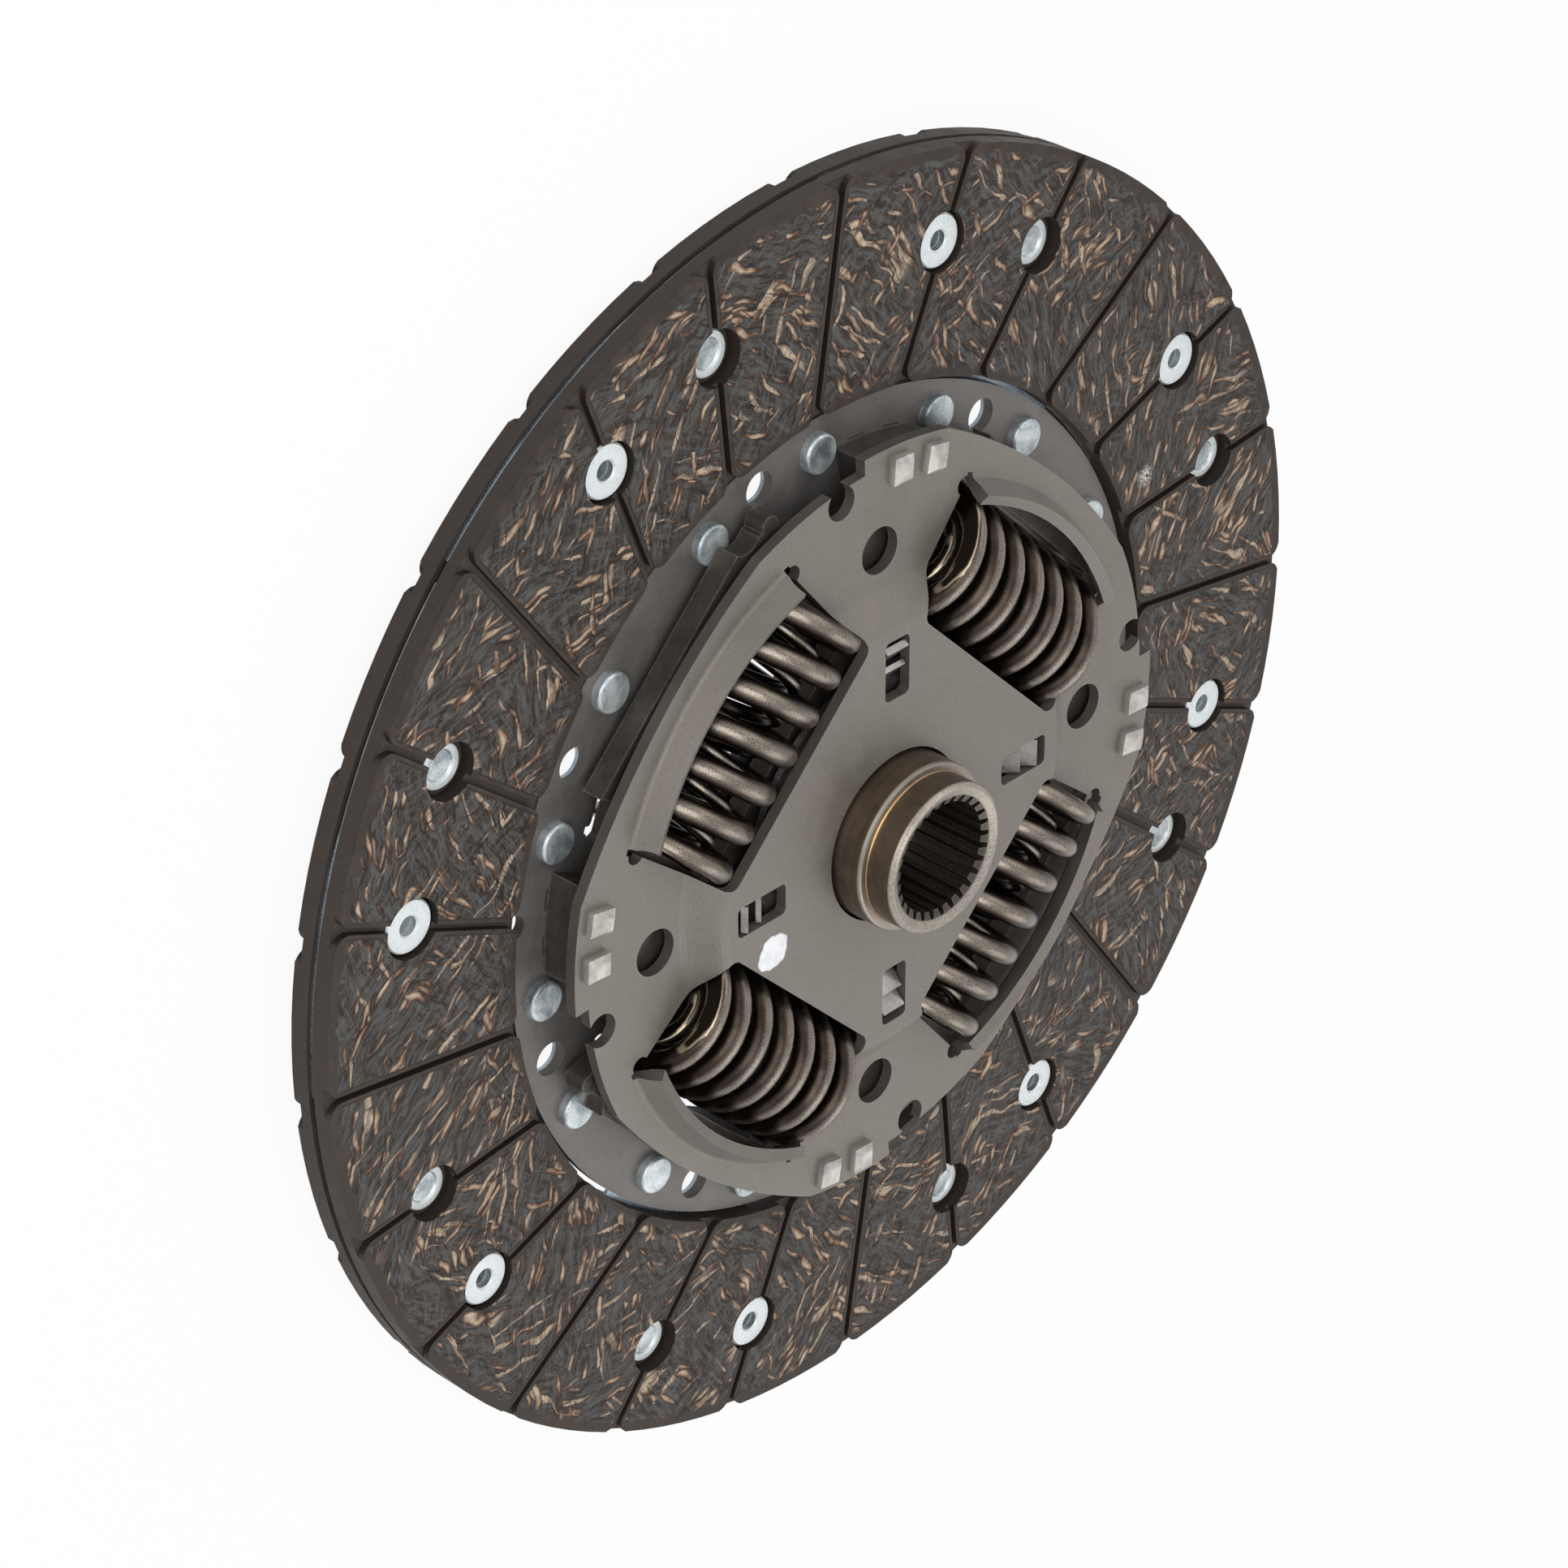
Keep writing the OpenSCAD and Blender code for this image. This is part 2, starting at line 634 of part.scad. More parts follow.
module lug_cuts() {
    for (k = [0 : 3]) for (s = [-1, 1]) rotate(90 * k - stop_lag + s * lug_half)
        translate([lug_ring, 0]) square([lug_len, lug_w] + [2 * seat_play, 2 * seat_play], center = true);
}

module drive_plate() {
    color([0.43, 0.42, 0.41]) difference() {
        union() {
            difference() {
                translate([0, 0, drive_z]) cylinder(r = drive_r, h = plate_t);
                window_cuts(drive_window_in, drive_window_round);
            }
            translate([0, 0, drive_z]) mirror([0, 0, 1]) window_lips();
        }
        relief_cuts();
        cylinder(r = drive_hole_r, h = through);
        linear_extrude(height = through) lug_cuts();
        for (k = [0 : segment_count - 1]) rotate(k * segment_pitch + seg_rivet_start) {
            for (s = [-1, 1]) rotate(s * seg_rivet_half) translate([seg_rivet_ring, 0, 0])
                cylinder(r = seg_shank_r + seat_play, h = through);
            translate([sight_ring, 0, 0]) cylinder(r = sight_hole_r, h = through);
        }
        rotate(balance_notch_angle) translate([drive_r, 0, 0]) cylinder(r = balance_notch_r, h = through);
    }
}

module cover_edge() {
    bow_c = cover_bow_r - cover_side;
    difference() {
        intersection() {
            circle(r = lobe_r);
            rotate(45) translate([-bow_c, 0]) circle(r = cover_bow_r);
            rotate(135) translate([-bow_c, 0]) circle(r = cover_bow_r);
            rotate(225) translate([-bow_c, 0]) circle(r = cover_bow_r);
            rotate(315) translate([-bow_c, 0]) circle(r = cover_bow_r);
        }
        for (k = [0 : 3]) rotate(90 * k) {
            rotate(edge_notch_angle) translate([edge_notch_ring, 0]) circle(r = edge_notch_r);
            difference() {
                wedge(shelf_from, shelf_to, 2 * lobe_r);
                circle(r = cover_shelf_r);
            }
        }
    }
}

// Half section of the dished sheet, which rises to its middle in a soft wave
module dish_section() {
    steps = 10;
    edge_r = lobe_r + 2;
    rise = [for (k = [0 : steps])
        [dish_r - dish_run * k / steps, dish_h * (1 - cos(180 * k / steps)) / 2]];
    polygon(concat(
        [[edge_r, 0]], rise, [[0, dish_h], [0, dish_h + plate_t]],
        [for (k = [steps : -1 : 0]) rise[k] + [0, plate_t]], [[edge_r, plate_t]]
    ));
}

module slot_outline() {
    round_r = 1;
    square([slot_len - 2 * round_r, slot_w], center = true);
    square([slot_len, slot_w - 2 * round_r], center = true);
    for (x = [-1, 1]) for (y = [-1, 1])
        translate([x * (slot_len / 2 - round_r), y * (slot_w / 2 - round_r)]) circle(r = round_r);
}

module cover_plate() {
    color([0.48, 0.46, 0.44]) difference() {
        union() {
            difference() {
                intersection() {
                    translate([0, 0, cover_z]) rotate_extrude() dish_section();
                    linear_extrude(height = through) cover_edge();
                }
                window_cuts(window_in, window_round);
            }
            translate([0, 0, cover_front_z]) window_lips();
        }
        relief_cuts();
        cylinder(r = cover_hole_r, h = through);
        linear_extrude(height = through) lug_cuts();
        for (k = [0 : 3]) rotate(90 * k) {
            translate([tooling_ring, 0, 0]) cylinder(r = tooling_r, h = through);
            translate([slot_ring, 0, 0]) linear_extrude(height = through) slot_outline();
        }
    }
}

// A square lug with its end dressed to a blunt wedge
module lug(h) {
    intersection() {
        translate([-lug_len / 2, 0, 0]) rotate([90, 0, 90]) linear_extrude(height = lug_len) polygon([
            [-lug_w / 2, -eps], [lug_w / 2, -eps], [lug_w / 2, h - lug_bevel],
            [lug_w / 2 - lug_bevel, h], [-lug_w / 2 + lug_bevel, h], [-lug_w / 2, h - lug_bevel]
        ]);
        translate([0, lug_w / 2, 0]) rotate([90, 0, 0]) linear_extrude(height = lug_w) polygon([
            [-lug_len / 2, -eps], [lug_len / 2, -eps], [lug_len / 2, h - lug_bevel],
            [lug_len / 2 - lug_bevel, h], [-lug_len / 2 + lug_bevel, h], [-lug_len / 2, h - lug_bevel]
        ]);
    }
}

// The tapered ends of a stop plate
module stop_sides() {
    x_out = stop_r_out * cos(stop_span / 2);
    y_out = stop_r_out * sin(stop_span / 2);
    taper = tan(stop_taper);
    in = stop_r_out - stop_r_in + 3;
    out = 3;
    polygon([
        [x_out - in, -y_out + in * taper], [x_out + out, -y_out - out * taper],
        [x_out + out, y_out + out * taper], [x_out - in, y_out - in * taper]
    ]);
}

module stop_plate(i) {
    color([0.27, 0.25, 0.23]) rotate(90 * (i - 1) - stop_lag) {
        translate([0, 0, drive_front_z]) linear_extrude(height = plate_gap) difference() {
            intersection() {
                circle(r = stop_r_out);
                stop_sides();
            }
            circle(r = stop_r_in);
        }
        for (s = [-1, 1]) rotate(s * lug_half) translate([lug_ring, 0, 0]) {
            translate([0, 0, cover_z]) lug(plate_t + lug_h);
            translate([0, 0, drive_front_z]) mirror([0, 0, 1]) lug(plate_t + lug_h);
        }
    }
}

// Spaces between the teeth of the inner spline
module spline_outline() {
    pitch = 360 / spline_count;
    wide = spline_tip_r * sin(0.30 * pitch);
    narrow = spline_root_r * sin(0.17 * pitch);
    start = spline_tip_r - 0.5;
    circle(r = spline_tip_r);
    for (k = [0 : spline_count - 1]) rotate(k * pitch)
        polygon([[start, -wide], [spline_root_r, -narrow], [spline_root_r, narrow], [start, wide]]);
}

module hub() {
    shoulder_z = hub_len - nose_len;
    rim_r = nose_r - nose_round;
    edge = 0.5;
    near = 0.3 * edge;
    color([0.36, 0.31, 0.25]) difference() {
        rotate_extrude() polygon([
            [0, 0], [hub_r - 2 * edge, 0], [hub_r, 2 * edge], [hub_r, flange_z], [collar_r, flange_z],
            [collar_r, flange_top_z], [hub_r, flange_top_z], [hub_r, shoulder_z - edge],
            [hub_r - near, shoulder_z - near], [hub_r - edge, shoulder_z], [nose_r + near, shoulder_z],
            [nose_r, shoulder_z + near], [nose_r, hub_len - nose_round], [nose_r - near, hub_len - edge],
            [rim_r + near, hub_len - near], [rim_r, hub_len], [0, hub_len]
        ]);
        translate([0, 0, -1]) linear_extrude(height = hub_len + 2) spline_outline();
        translate([0, 0, hub_len - spline_lead])
            cylinder(r1 = spline_tip_r, r2 = rim_r - near, h = spline_lead + eps);
        translate([0, 0, -eps]) cylinder(r1 = spline_root_r + edge, r2 = spline_tip_r, h = spline_lead);
    }
}

// The flange beyond one window: a straight edge, then a scoop and a nub on the lagging side
module flange_lobe() {
    nub_ring = nub_r - nub_round;
    far = 2 * nub_r;
    difference() {
        union() {
            intersection() {
                wedge(-scoop_angle, lobe_lead, far);
                square([2 * flange_side, far], center = true);
            }
            intersection() {
                wedge(-lobe_lag, -scoop_angle, far);
                circle(r = nub_ring);
            }
            intersection() {
                wedge(0, rim_lead, far);
                circle(r = flange_rim_r);
            }
            rotate(asin(nub_round / nub_ring) - lobe_lag) translate([nub_ring, 0]) circle(r = nub_round);
        }
        rotate(-scoop_angle) translate([scoop_floor + scoop_r, 0]) circle(r = scoop_r);
    }
}

module flange_window() {
    rim_w = 2;
    gap = 0.9;
    intersection() {
        translate([flange_window_in, -window_half])
            square([spring_out + gap - flange_window_in, 2 * window_half]);
        circle(r = flange_rim_r - rim_w);
    }
}

module hub_flange() {
    color([0.29, 0.26, 0.23]) translate([0, 0, flange_z]) linear_extrude(height = flange_t) difference() {
        union() {
            circle(r = flange_web_r);
            for (k = [0 : 3]) rotate(45 + 90 * k) flange_lobe();
        }
        for (k = [0 : 3]) rotate(45 + 90 * k) flange_window();
        circle(r = collar_r + seat_play);
    }
}

// Height of the wire's middle along a spring after t turns, its ends closed and ground
function coil_height(t, len, wire, turns) = lookup(t, [
    [0, 0.08 * wire], [0.5, 0.3 * wire], [1, 1.12 * wire],
    [turns - 1, len - 1.12 * wire], [turns - 0.5, len - 0.3 * wire], [turns, len - 0.08 * wire]
]) - len / 2;

// A right-handed coil spring along Z about the origin: a round wire swept along its helix and ground flat
// at both ends. Each end face is a fan from point 1, which stands clear of the ground flat.
module coil_spring(len, r_out, wire, turns, steps, sides) {
    count = round(turns * steps);
    mean_r = r_out - wire / 2;
    last = count * sides;
    points = [for (i = [0 : count]) for (j = [0 : sides - 1])
        let (a = 360 * i / steps, b = 360 * (j + 0.5) / sides,
            r = mean_r + wire / 2 * cos(b), h = coil_height(i / steps, len, wire, turns) + wire / 2 * sin(b))
        [r * cos(a), r * sin(a), max(-len / 2, min(len / 2, h))]];
    sheets = [for (i = [0 : count - 1]) for (j = [0 : sides - 1])
        let (p = i * sides + j, q = i * sides + (j + 1) % sides)
        each [[p, q, p + sides], [q, q + sides, p + sides]]];
    tip = sides - 2;
    start = [for (j = [1 : tip]) [1, (j + 2) % sides, (j + 1) % sides]];
    end = [for (j = [1 : tip]) [last + tip, last + (tip + j) % sides, last + (tip + 1 + j) % sides]];
    polyhedron(points = points, faces = concat(sheets, start, end));
}

// Sets a spring into window i, its coils starting at the rear
module in_window(i) {
    rotate(45 + 90 * (i - 1)) translate([spring_ring, 0, spring_z]) rotate([90, 0, 0]) rotate([0, 0, -90])
        children();
}

module outer_spring(i) {
    color([0.40, 0.35, 0.31]) in_window(i)
        coil_spring(spring_len, outer_r, outer_wire, outer_turns, 14, 8);
}

module inner_spring(i) {
    color([0.38, 0.33, 0.29]) in_window(i) mirror([0, 1, 0])
        coil_spring(spring_len, inner_r, inner_wire, inner_turns, 11, 6);
}

module front_friction_ring() {
    color([0.16, 0.15, 0.14]) translate([0, 0, stack_z])
        ring(friction_r_out - ring_inset, friction_bore_r, front_ring_t);
}

// A tongue that leaves a ring flat, bends up and runs outwards
module tongue(root_r, sheet, run) {
    translate([root_r, tongue_w / 2, 0]) rotate([90, 0, 0]) linear_extrude(height = tongue_w)
        polygon(bent_sheet(tongue_w, sheet, tongue_bend, tongue_slope, run));
}

module pressure_plate() {
    color([0.36, 0.36, 0.37]) translate([0, 0, pressure_z]) {
        ring(pressure_r, friction_bore_r, pressure_t);
        for (k = [0 : 3]) rotate(90 * k) tongue(pressure_r - seat_play, pressure_t, outer_tongue);
    }
}

// A shallow cone: its rim bears on the pressure plate and its inner edge on the cover plate
module disc_spring() {
    rise = dish_z - disc_spring_z - disc_spring_t;
    rim_out = friction_r_out - ring_inset;
    rim_in = rim_out - 2 * ring_inset;
    cone_in = friction_bore_r + 2;
    color([0.45, 0.45, 0.50]) translate([0, 0, disc_spring_z]) {
        rotate_extrude() polygon([
            [cone_in, rise], [rim_in, 0], [rim_out, 0], [rim_out, disc_spring_t],
            [rim_in, disc_spring_t], [cone_in, rise + disc_spring_t]
        ]);
        for (k = [0 : 3]) rotate(90 * k) tongue(rim_out - seat_play, disc_spring_t, inner_tongue);
    }
}

module rear_friction_ring() {
    color([0.16, 0.15, 0.14]) translate([0, 0, drive_front_z])
        ring(friction_r_out - ring_inset, drive_hole_r + ring_inset, flange_gap - turn_play);
}

// A flanged bush in the drive plate's centre hole
module guide_bush() {
    color([0.62, 0.55, 0.36]) translate([0, 0, drive_z - bush_collar_t]) difference() {
        union() {
            cylinder(r = drive_hole_r - seat_play, h = plate_t + bush_collar_t);
            cylinder(r = drive_hole_r + bush_collar_w, h = bush_collar_t);
        }
        translate([0, 0, -1]) cylinder(r = hub_r + bush_play, h = through);
    }
}

front_facing();
rear_facing();
cushion_segment(1);  // cushion_segment_1
cushion_segment(2);  // cushion_segment_2
cushion_segment(3);  // cushion_segment_3
cushion_segment(4);  // cushion_segment_4
cushion_segment(5);  // cushion_segment_5
cushion_segment(6);  // cushion_segment_6
cushion_segment(7);  // cushion_segment_7
cushion_segment(8);  // cushion_segment_8
front_facing_rivets();
rear_facing_rivets();
segment_rivets();
drive_plate();
cover_plate();
stop_plate(1);  // stop_plate_1
stop_plate(2);  // stop_plate_2
stop_plate(3);  // stop_plate_3
stop_plate(4);  // stop_plate_4
hub();
hub_flange();
outer_spring(1);  // outer_spring_1
outer_spring(2);  // outer_spring_2
outer_spring(3);  // outer_spring_3
outer_spring(4);  // outer_spring_4
inner_spring(1);  // inner_spring_1
inner_spring(2);  // inner_spring_2
inner_spring(3);  // inner_spring_3
inner_spring(4);  // inner_spring_4
front_friction_ring();
pressure_plate();
disc_spring();
rear_friction_ring();
guide_bush();
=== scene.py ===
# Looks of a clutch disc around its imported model: finishes, finely wound springs and the paint spot
import math

import bpy
import numpy as np
from mathutils import Matrix, Vector


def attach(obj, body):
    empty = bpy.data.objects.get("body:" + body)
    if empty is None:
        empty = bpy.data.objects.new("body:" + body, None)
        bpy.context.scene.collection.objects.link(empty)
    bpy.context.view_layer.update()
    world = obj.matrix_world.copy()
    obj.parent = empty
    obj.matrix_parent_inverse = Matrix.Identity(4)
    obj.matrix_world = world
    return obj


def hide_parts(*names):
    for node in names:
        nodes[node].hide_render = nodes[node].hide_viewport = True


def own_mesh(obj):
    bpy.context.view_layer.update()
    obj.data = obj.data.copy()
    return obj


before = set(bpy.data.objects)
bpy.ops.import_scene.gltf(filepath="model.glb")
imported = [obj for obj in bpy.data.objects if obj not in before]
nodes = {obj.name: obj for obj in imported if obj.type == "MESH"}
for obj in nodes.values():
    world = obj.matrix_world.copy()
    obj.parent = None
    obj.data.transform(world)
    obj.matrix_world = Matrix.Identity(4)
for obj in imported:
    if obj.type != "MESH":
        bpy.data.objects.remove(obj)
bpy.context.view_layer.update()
mm = 0.001

print("frame loaded,", len(nodes), "pieces")


# colours are written as they look on a screen, from 0 to 255
def shade(red, green, blue):
    part = np.array([red, green, blue]) / 255
    part = np.where(part <= 0.04045, part / 12.92, ((part + 0.055) / 1.055) ** 2.4)
    return (*part.tolist(), 1.0)


# shader nodes

def put(tree, kind, **settings):
    node = tree.nodes.new(kind)
    for name, value in settings.items():
        setattr(node, name, value)
    return node


def feed(tree, socket, value):
    # a value is another node's socket, or a plain number or colour
    if isinstance(value, bpy.types.NodeSocket):
        tree.links.new(value, socket)
    elif value is not None:
        socket.default_value = value


def sums(tree, operation, a, b=None, c=None, clamp=False):
    node = put(tree, "ShaderNodeMath", operation=operation, use_clamp=clamp)
    for socket, value in zip(node.inputs, (a, b, c)):
        feed(tree, socket, value)
    return node.outputs[0]


def times(tree, first, *others):
    for other in others:
        first = sums(tree, "MULTIPLY", first, other)
    return first


def apart(tree, value, centre):
    # how far a value is from a centre, either way
    return sums(tree, "ABSOLUTE", sums(tree, "SUBTRACT", value, centre))


def fromAxis(tree, x, y):
    return sums(tree, "SQRT", sums(tree, "MULTIPLY_ADD", x, x, times(tree, y, y)))


def vectors(tree, operation, *values, out=0):
    node = put(tree, "ShaderNodeVectorMath", operation=operation)
    for socket, value in zip(node.inputs, values):
        feed(tree, socket, value)
    return node.outputs[out]


def turned(tree, vector, angle):
    node = put(tree, "ShaderNodeVectorRotate", rotation_type="Z_AXIS")
    feed(tree, node.inputs["Vector"], vector)
    feed(tree, node.inputs["Angle"], angle)
    return node.outputs[0]


def scaled(tree, vector, factor, offset=(0, 0, 0)):
    node = put(tree, "ShaderNodeMapping")
    feed(tree, node.inputs["Vector"], vector)
    node.inputs["Scale"].default_value = factor
    node.inputs["Location"].default_value = offset
    return node.outputs[0]


def joined(tree, x, y):
    node = put(tree, "ShaderNodeCombineXYZ")
    feed(tree, node.inputs[0], x)
    feed(tree, node.inputs[1], y)
    return node.outputs[0]


def parts(tree, vector):
    node = put(tree, "ShaderNodeSeparateXYZ")
    feed(tree, node.inputs[0], vector)
    return node.outputs[0], node.outputs[1], node.outputs[2]


def noise(tree, vector, scale, detail=3.0, rough=0.55, distort=0.0, flat="3D", out=0):
    node = put(tree, "ShaderNodeTexNoise", noise_dimensions=flat)
    feed(tree, node.inputs["Vector"], vector)
    settings = (("Scale", scale), ("Detail", detail), ("Roughness", rough), ("Distortion", distort))
    for name, value in settings:
        feed(tree, node.inputs[name], value)
    return node.outputs[out]


def cells(tree, vector, scale, loose=1.0):
    node = put(tree, "ShaderNodeTexVoronoi", voronoi_dimensions="2D", feature="F1")
    feed(tree, node.inputs["Vector"], vector)
    feed(tree, node.inputs["Scale"], scale)
    feed(tree, node.inputs["Randomness"], loose)
    return node.outputs


def spread(tree, value, low, high, to=(0.0, 1.0), smooth=True):
    # maps low..high to a new range, with soft ends
    node = put(tree, "ShaderNodeMapRange", interpolation_type="SMOOTHSTEP" if smooth else "LINEAR")
    settings = (("Value", value), ("From Min", low), ("From Max", high), ("To Min", to[0]), ("To Max", to[1]))
    for name, entry in settings:
        feed(tree, node.inputs[name], entry)
    return node.outputs[0]


def layOver(tree, under, over, mask, share=1.0):
    # one colour over another where the mask is, by a share
    node = put(tree, "ShaderNodeMix", data_type="RGBA", blend_type="MIX")
    feed(tree, node.inputs[0], mask if share == 1.0 else times(tree, mask, share))
    feed(tree, node.inputs[6], under)
    feed(tree, node.inputs[7], over)
    return node.outputs[2]


def ramp(tree, value, *stops):
    # stops are pairs of a place and a colour
    node = put(tree, "ShaderNodeValToRGB")
    while len(node.color_ramp.elements) < len(stops):
        node.color_ramp.elements.new(0.5)
    for element, (at, colour) in zip(node.color_ramp.elements, stops):
        element.position, element.color = at, colour
    feed(tree, node.inputs[0], value)
    return node.outputs[0]


def newGroup(name, inputs, outputs):
    # inputs: name, kind, value; outputs: names of numbers
    group = bpy.data.node_groups.new(name, "ShaderNodeTree")
    for label, kind, value in inputs:
        socket = group.interface.new_socket(label, in_out="INPUT", socket_type="NodeSocket" + kind)
        if value is not None:
            socket.default_value = value
    for label in outputs:
        group.interface.new_socket(label, in_out="OUTPUT", socket_type="NodeSocketFloat")
    return group, put(group, "NodeGroupInput").outputs, put(group, "NodeGroupOutput").inputs


def place(tree, group, **values):
    node = put(tree, "ShaderNodeGroup", node_tree=group)
    for name, value in values.items():
        feed(tree, node.inputs[name], value)
    return node.outputs


def newFinish(name):
    # spot is the place on the piece, in millimetres
    material = bpy.data.materials.new(name)
    material.use_nodes = True
    tree = material.node_tree
    spot = put(tree, "ShaderNodeTexCoord").outputs["Object"]
    return material, tree, tree.nodes["Principled BSDF"], scaled(tree, spot, (1 / mm,) * 3)


def dress(tree, skin, colour, metal, rough, height, relief, strength):
    # relief is the depth of the bumps, in millimetres
    feed(tree, skin.inputs["Base Color"], colour)
    skin.inputs["Metallic"].default_value = metal
    feed(tree, skin.inputs["Roughness"], rough)
    bump = put(tree, "ShaderNodeBump")
    feed(tree, bump.inputs["Height"], height)
    bump.inputs["Distance"].default_value = relief * mm
    bump.inputs["Strength"].default_value = strength
    feed(tree, skin.inputs["Normal"], bump.outputs[0])


# grain: fine mottling for rolled, turned or plated metal, with the coordinates in millimetres
grainLook = {
    "fine": (4.0, 0.65), "clouds": (3.0, 0.6, 0.4),  # detail, roughness, distortion of the noise
    "range": (0.3, 0.7), "cloudHeight": 0.4,
}


def makeGrain():
    group, given, out = newGroup(
        "metalGrain",
        [("Place", "Vector", None), ("Size", "Float", 0.5), ("Cloud", "Float", 8.0)],
        ["Fine", "Clouds", "Height"])
    small, wide = sums(group, "DIVIDE", 1.0, given["Size"]), sums(group, "DIVIDE", 1.0, given["Cloud"])
    fine = noise(group, given["Place"], small, *grainLook["fine"])
    clouds = noise(group, given["Place"], wide, *grainLook["clouds"])
    feed(group, out["Fine"], spread(group, fine, *grainLook["range"]))
    feed(group, out["Clouds"], spread(group, clouds, *grainLook["range"]))
    feed(group, out["Height"], sums(group, "MULTIPLY_ADD", clouds, grainLook["cloudHeight"], fine))
    return group


# edge wear: where a rounded normal differs from the true one
wearLook = {
    "samples": 4, "turn": (0.985, 0.85),  # cosine of the two normals' angle, from unworn to worn
    "patches": 1.4, "bare": (0.35, 0.6), "least": 0.35,
}


def makeWear():
    group, given, out = newGroup(
        "edgeWear", [("Width", "Float", 0.0003), ("Place", "Vector", None)], ["Mask"])
    rounded = put(group, "ShaderNodeBevel", samples=wearLook["samples"])
    feed(group, rounded.inputs["Radius"], given["Width"])
    true = put(group, "ShaderNodeNewGeometry").outputs["True Normal"]
    turn = vectors(group, "DOT_PRODUCT", rounded.outputs[0], true, out="Value")
    bent = spread(group, turn, *wearLook["turn"])
    patches = noise(group, given["Place"], wearLook["patches"])
    bare = spread(group, patches, *wearLook["bare"], (wearLook["least"], 1.0))
    feed(group, out["Mask"], sums(group, "MULTIPLY", bent, bare, clamp=True))
    return group


grain = makeGrain()
wear = makeWear()


def worn(tree, spot, width):
    return place(tree, wear, Width=width * mm, Place=spot)["Mask"]


# rolled and pressed sheet
sheet = {
    "cover": shade(127, 121, 114), "coverLow": shade(104, 98, 92),
    "drive": shade(118, 114, 111), "driveLow": shade(93, 90, 87),
    "cut": shade(84, 79, 74), "cutShare": 0.7, "upright": (0.35, 0.1),
    "worn": shade(158, 153, 146), "wornWidth": 0.25, "wornShare": 0.45,
    "metal": 0.4, "gloss": (0.46, 0.58), "relief": 0.03, "strength": 0.6,
    "grain": 0.3, "grainShare": 0.55, "clouds": 9.0, "cloudShare": 0.35,
    "drawn": (1.0, 0.12, 1.0), "drawnGrain": 0.5, "drawnClouds": 20.0, "drawnShare": 0.1,
}


def sheetFinish(name, high, low):
    material, tree, skin, spot = newFinish(name)
    mottle = place(tree, grain, Place=spot, Size=sheet["grain"], Cloud=sheet["clouds"])
    along = scaled(tree, spot, sheet["drawn"])
    drawn = place(tree, grain, Place=along, Size=sheet["drawnGrain"], Cloud=sheet["drawnClouds"])
    tone = times(tree, drawn["Fine"], sheet["drawnShare"])
    tone = sums(tree, "MULTIPLY_ADD", mottle["Fine"], sheet["grainShare"], tone)
    tone = sums(tree, "MULTIPLY_ADD", mottle["Clouds"], sheet["cloudShare"], tone, clamp=True)
    colour = layOver(tree, low, high, tone)
    # the sheared edge of the sheet is darker, and its corner is worn bright
    up = parts(tree, put(tree, "ShaderNodeNewGeometry").outputs["Normal"])[2]
    side = spread(tree, sums(tree, "ABSOLUTE", up), *sheet["upright"])
    colour = layOver(tree, colour, sheet["cut"], side, sheet["cutShare"])
    colour = layOver(tree, colour, sheet["worn"], worn(tree, spot, sheet["wornWidth"]), sheet["wornShare"])
    rough = spread(tree, mottle["Clouds"], 0, 1, sheet["gloss"])
    dress(tree, skin, colour, sheet["metal"], rough, mottle["Height"], sheet["relief"], sheet["strength"])
    return material


# friction lining: a yarn that winds to and fro between the edges, pressed in dark resin
lining = {
    "resin": shade(68, 59, 53), "resinDark": shade(48, 42, 37), "slate": shade(90, 91, 90),
    "dirt": shade(24, 20, 17), "hole": shade(36, 29, 24), "floor": shade(72, 64, 58),
    "wall": shade(60, 55, 51), "fibre": shade(98, 72, 56), "outline": shade(30, 26, 24),
    "yarns": [(0.0, shade(72, 50, 40)), (0.3, shade(122, 93, 76)), (0.6, shade(172, 148, 124)),
              (1.0, shade(202, 184, 160))],
    "middle": 6.9, "half": 4.1, "rim": 114.0, "bore": 75.0,
    # grooves: angle between two, distance of their lines from the axis, angles of the first one on the
    # front ring and of the turned rear ring, and half the width that stays free of yarn
    "pitch": math.radians(15), "line": 18.711, "first": math.radians(-9.146),
    "flip": math.radians(24.361), "margin": 1.35,
    # seed, length and width of a strand, and the share of short dashes, or 0 for long strands
    "layers": [(0.0, 12.0, 1.5, 0.0), (37.0, 12.5, 1.9, 0.42), (81.0, 10.0, 1.8, 0.3)],
    "mottle": (0.22, 4.0, 0.6, 0.5), "dust": (2.6, 4.0, 0.7), "ragged": (0.35, 2.0), "pits": (1.1, 3.0, 0.6),
    "smear": (32.6, -75.2, 11.0), "smearColour": shade(222, 220, 214), "smearReach": (2.7, 0.6),
    "gloss": (0.5, 0.68), "specular": 0.18, "relief": 0.2, "strength": 0.8,
}
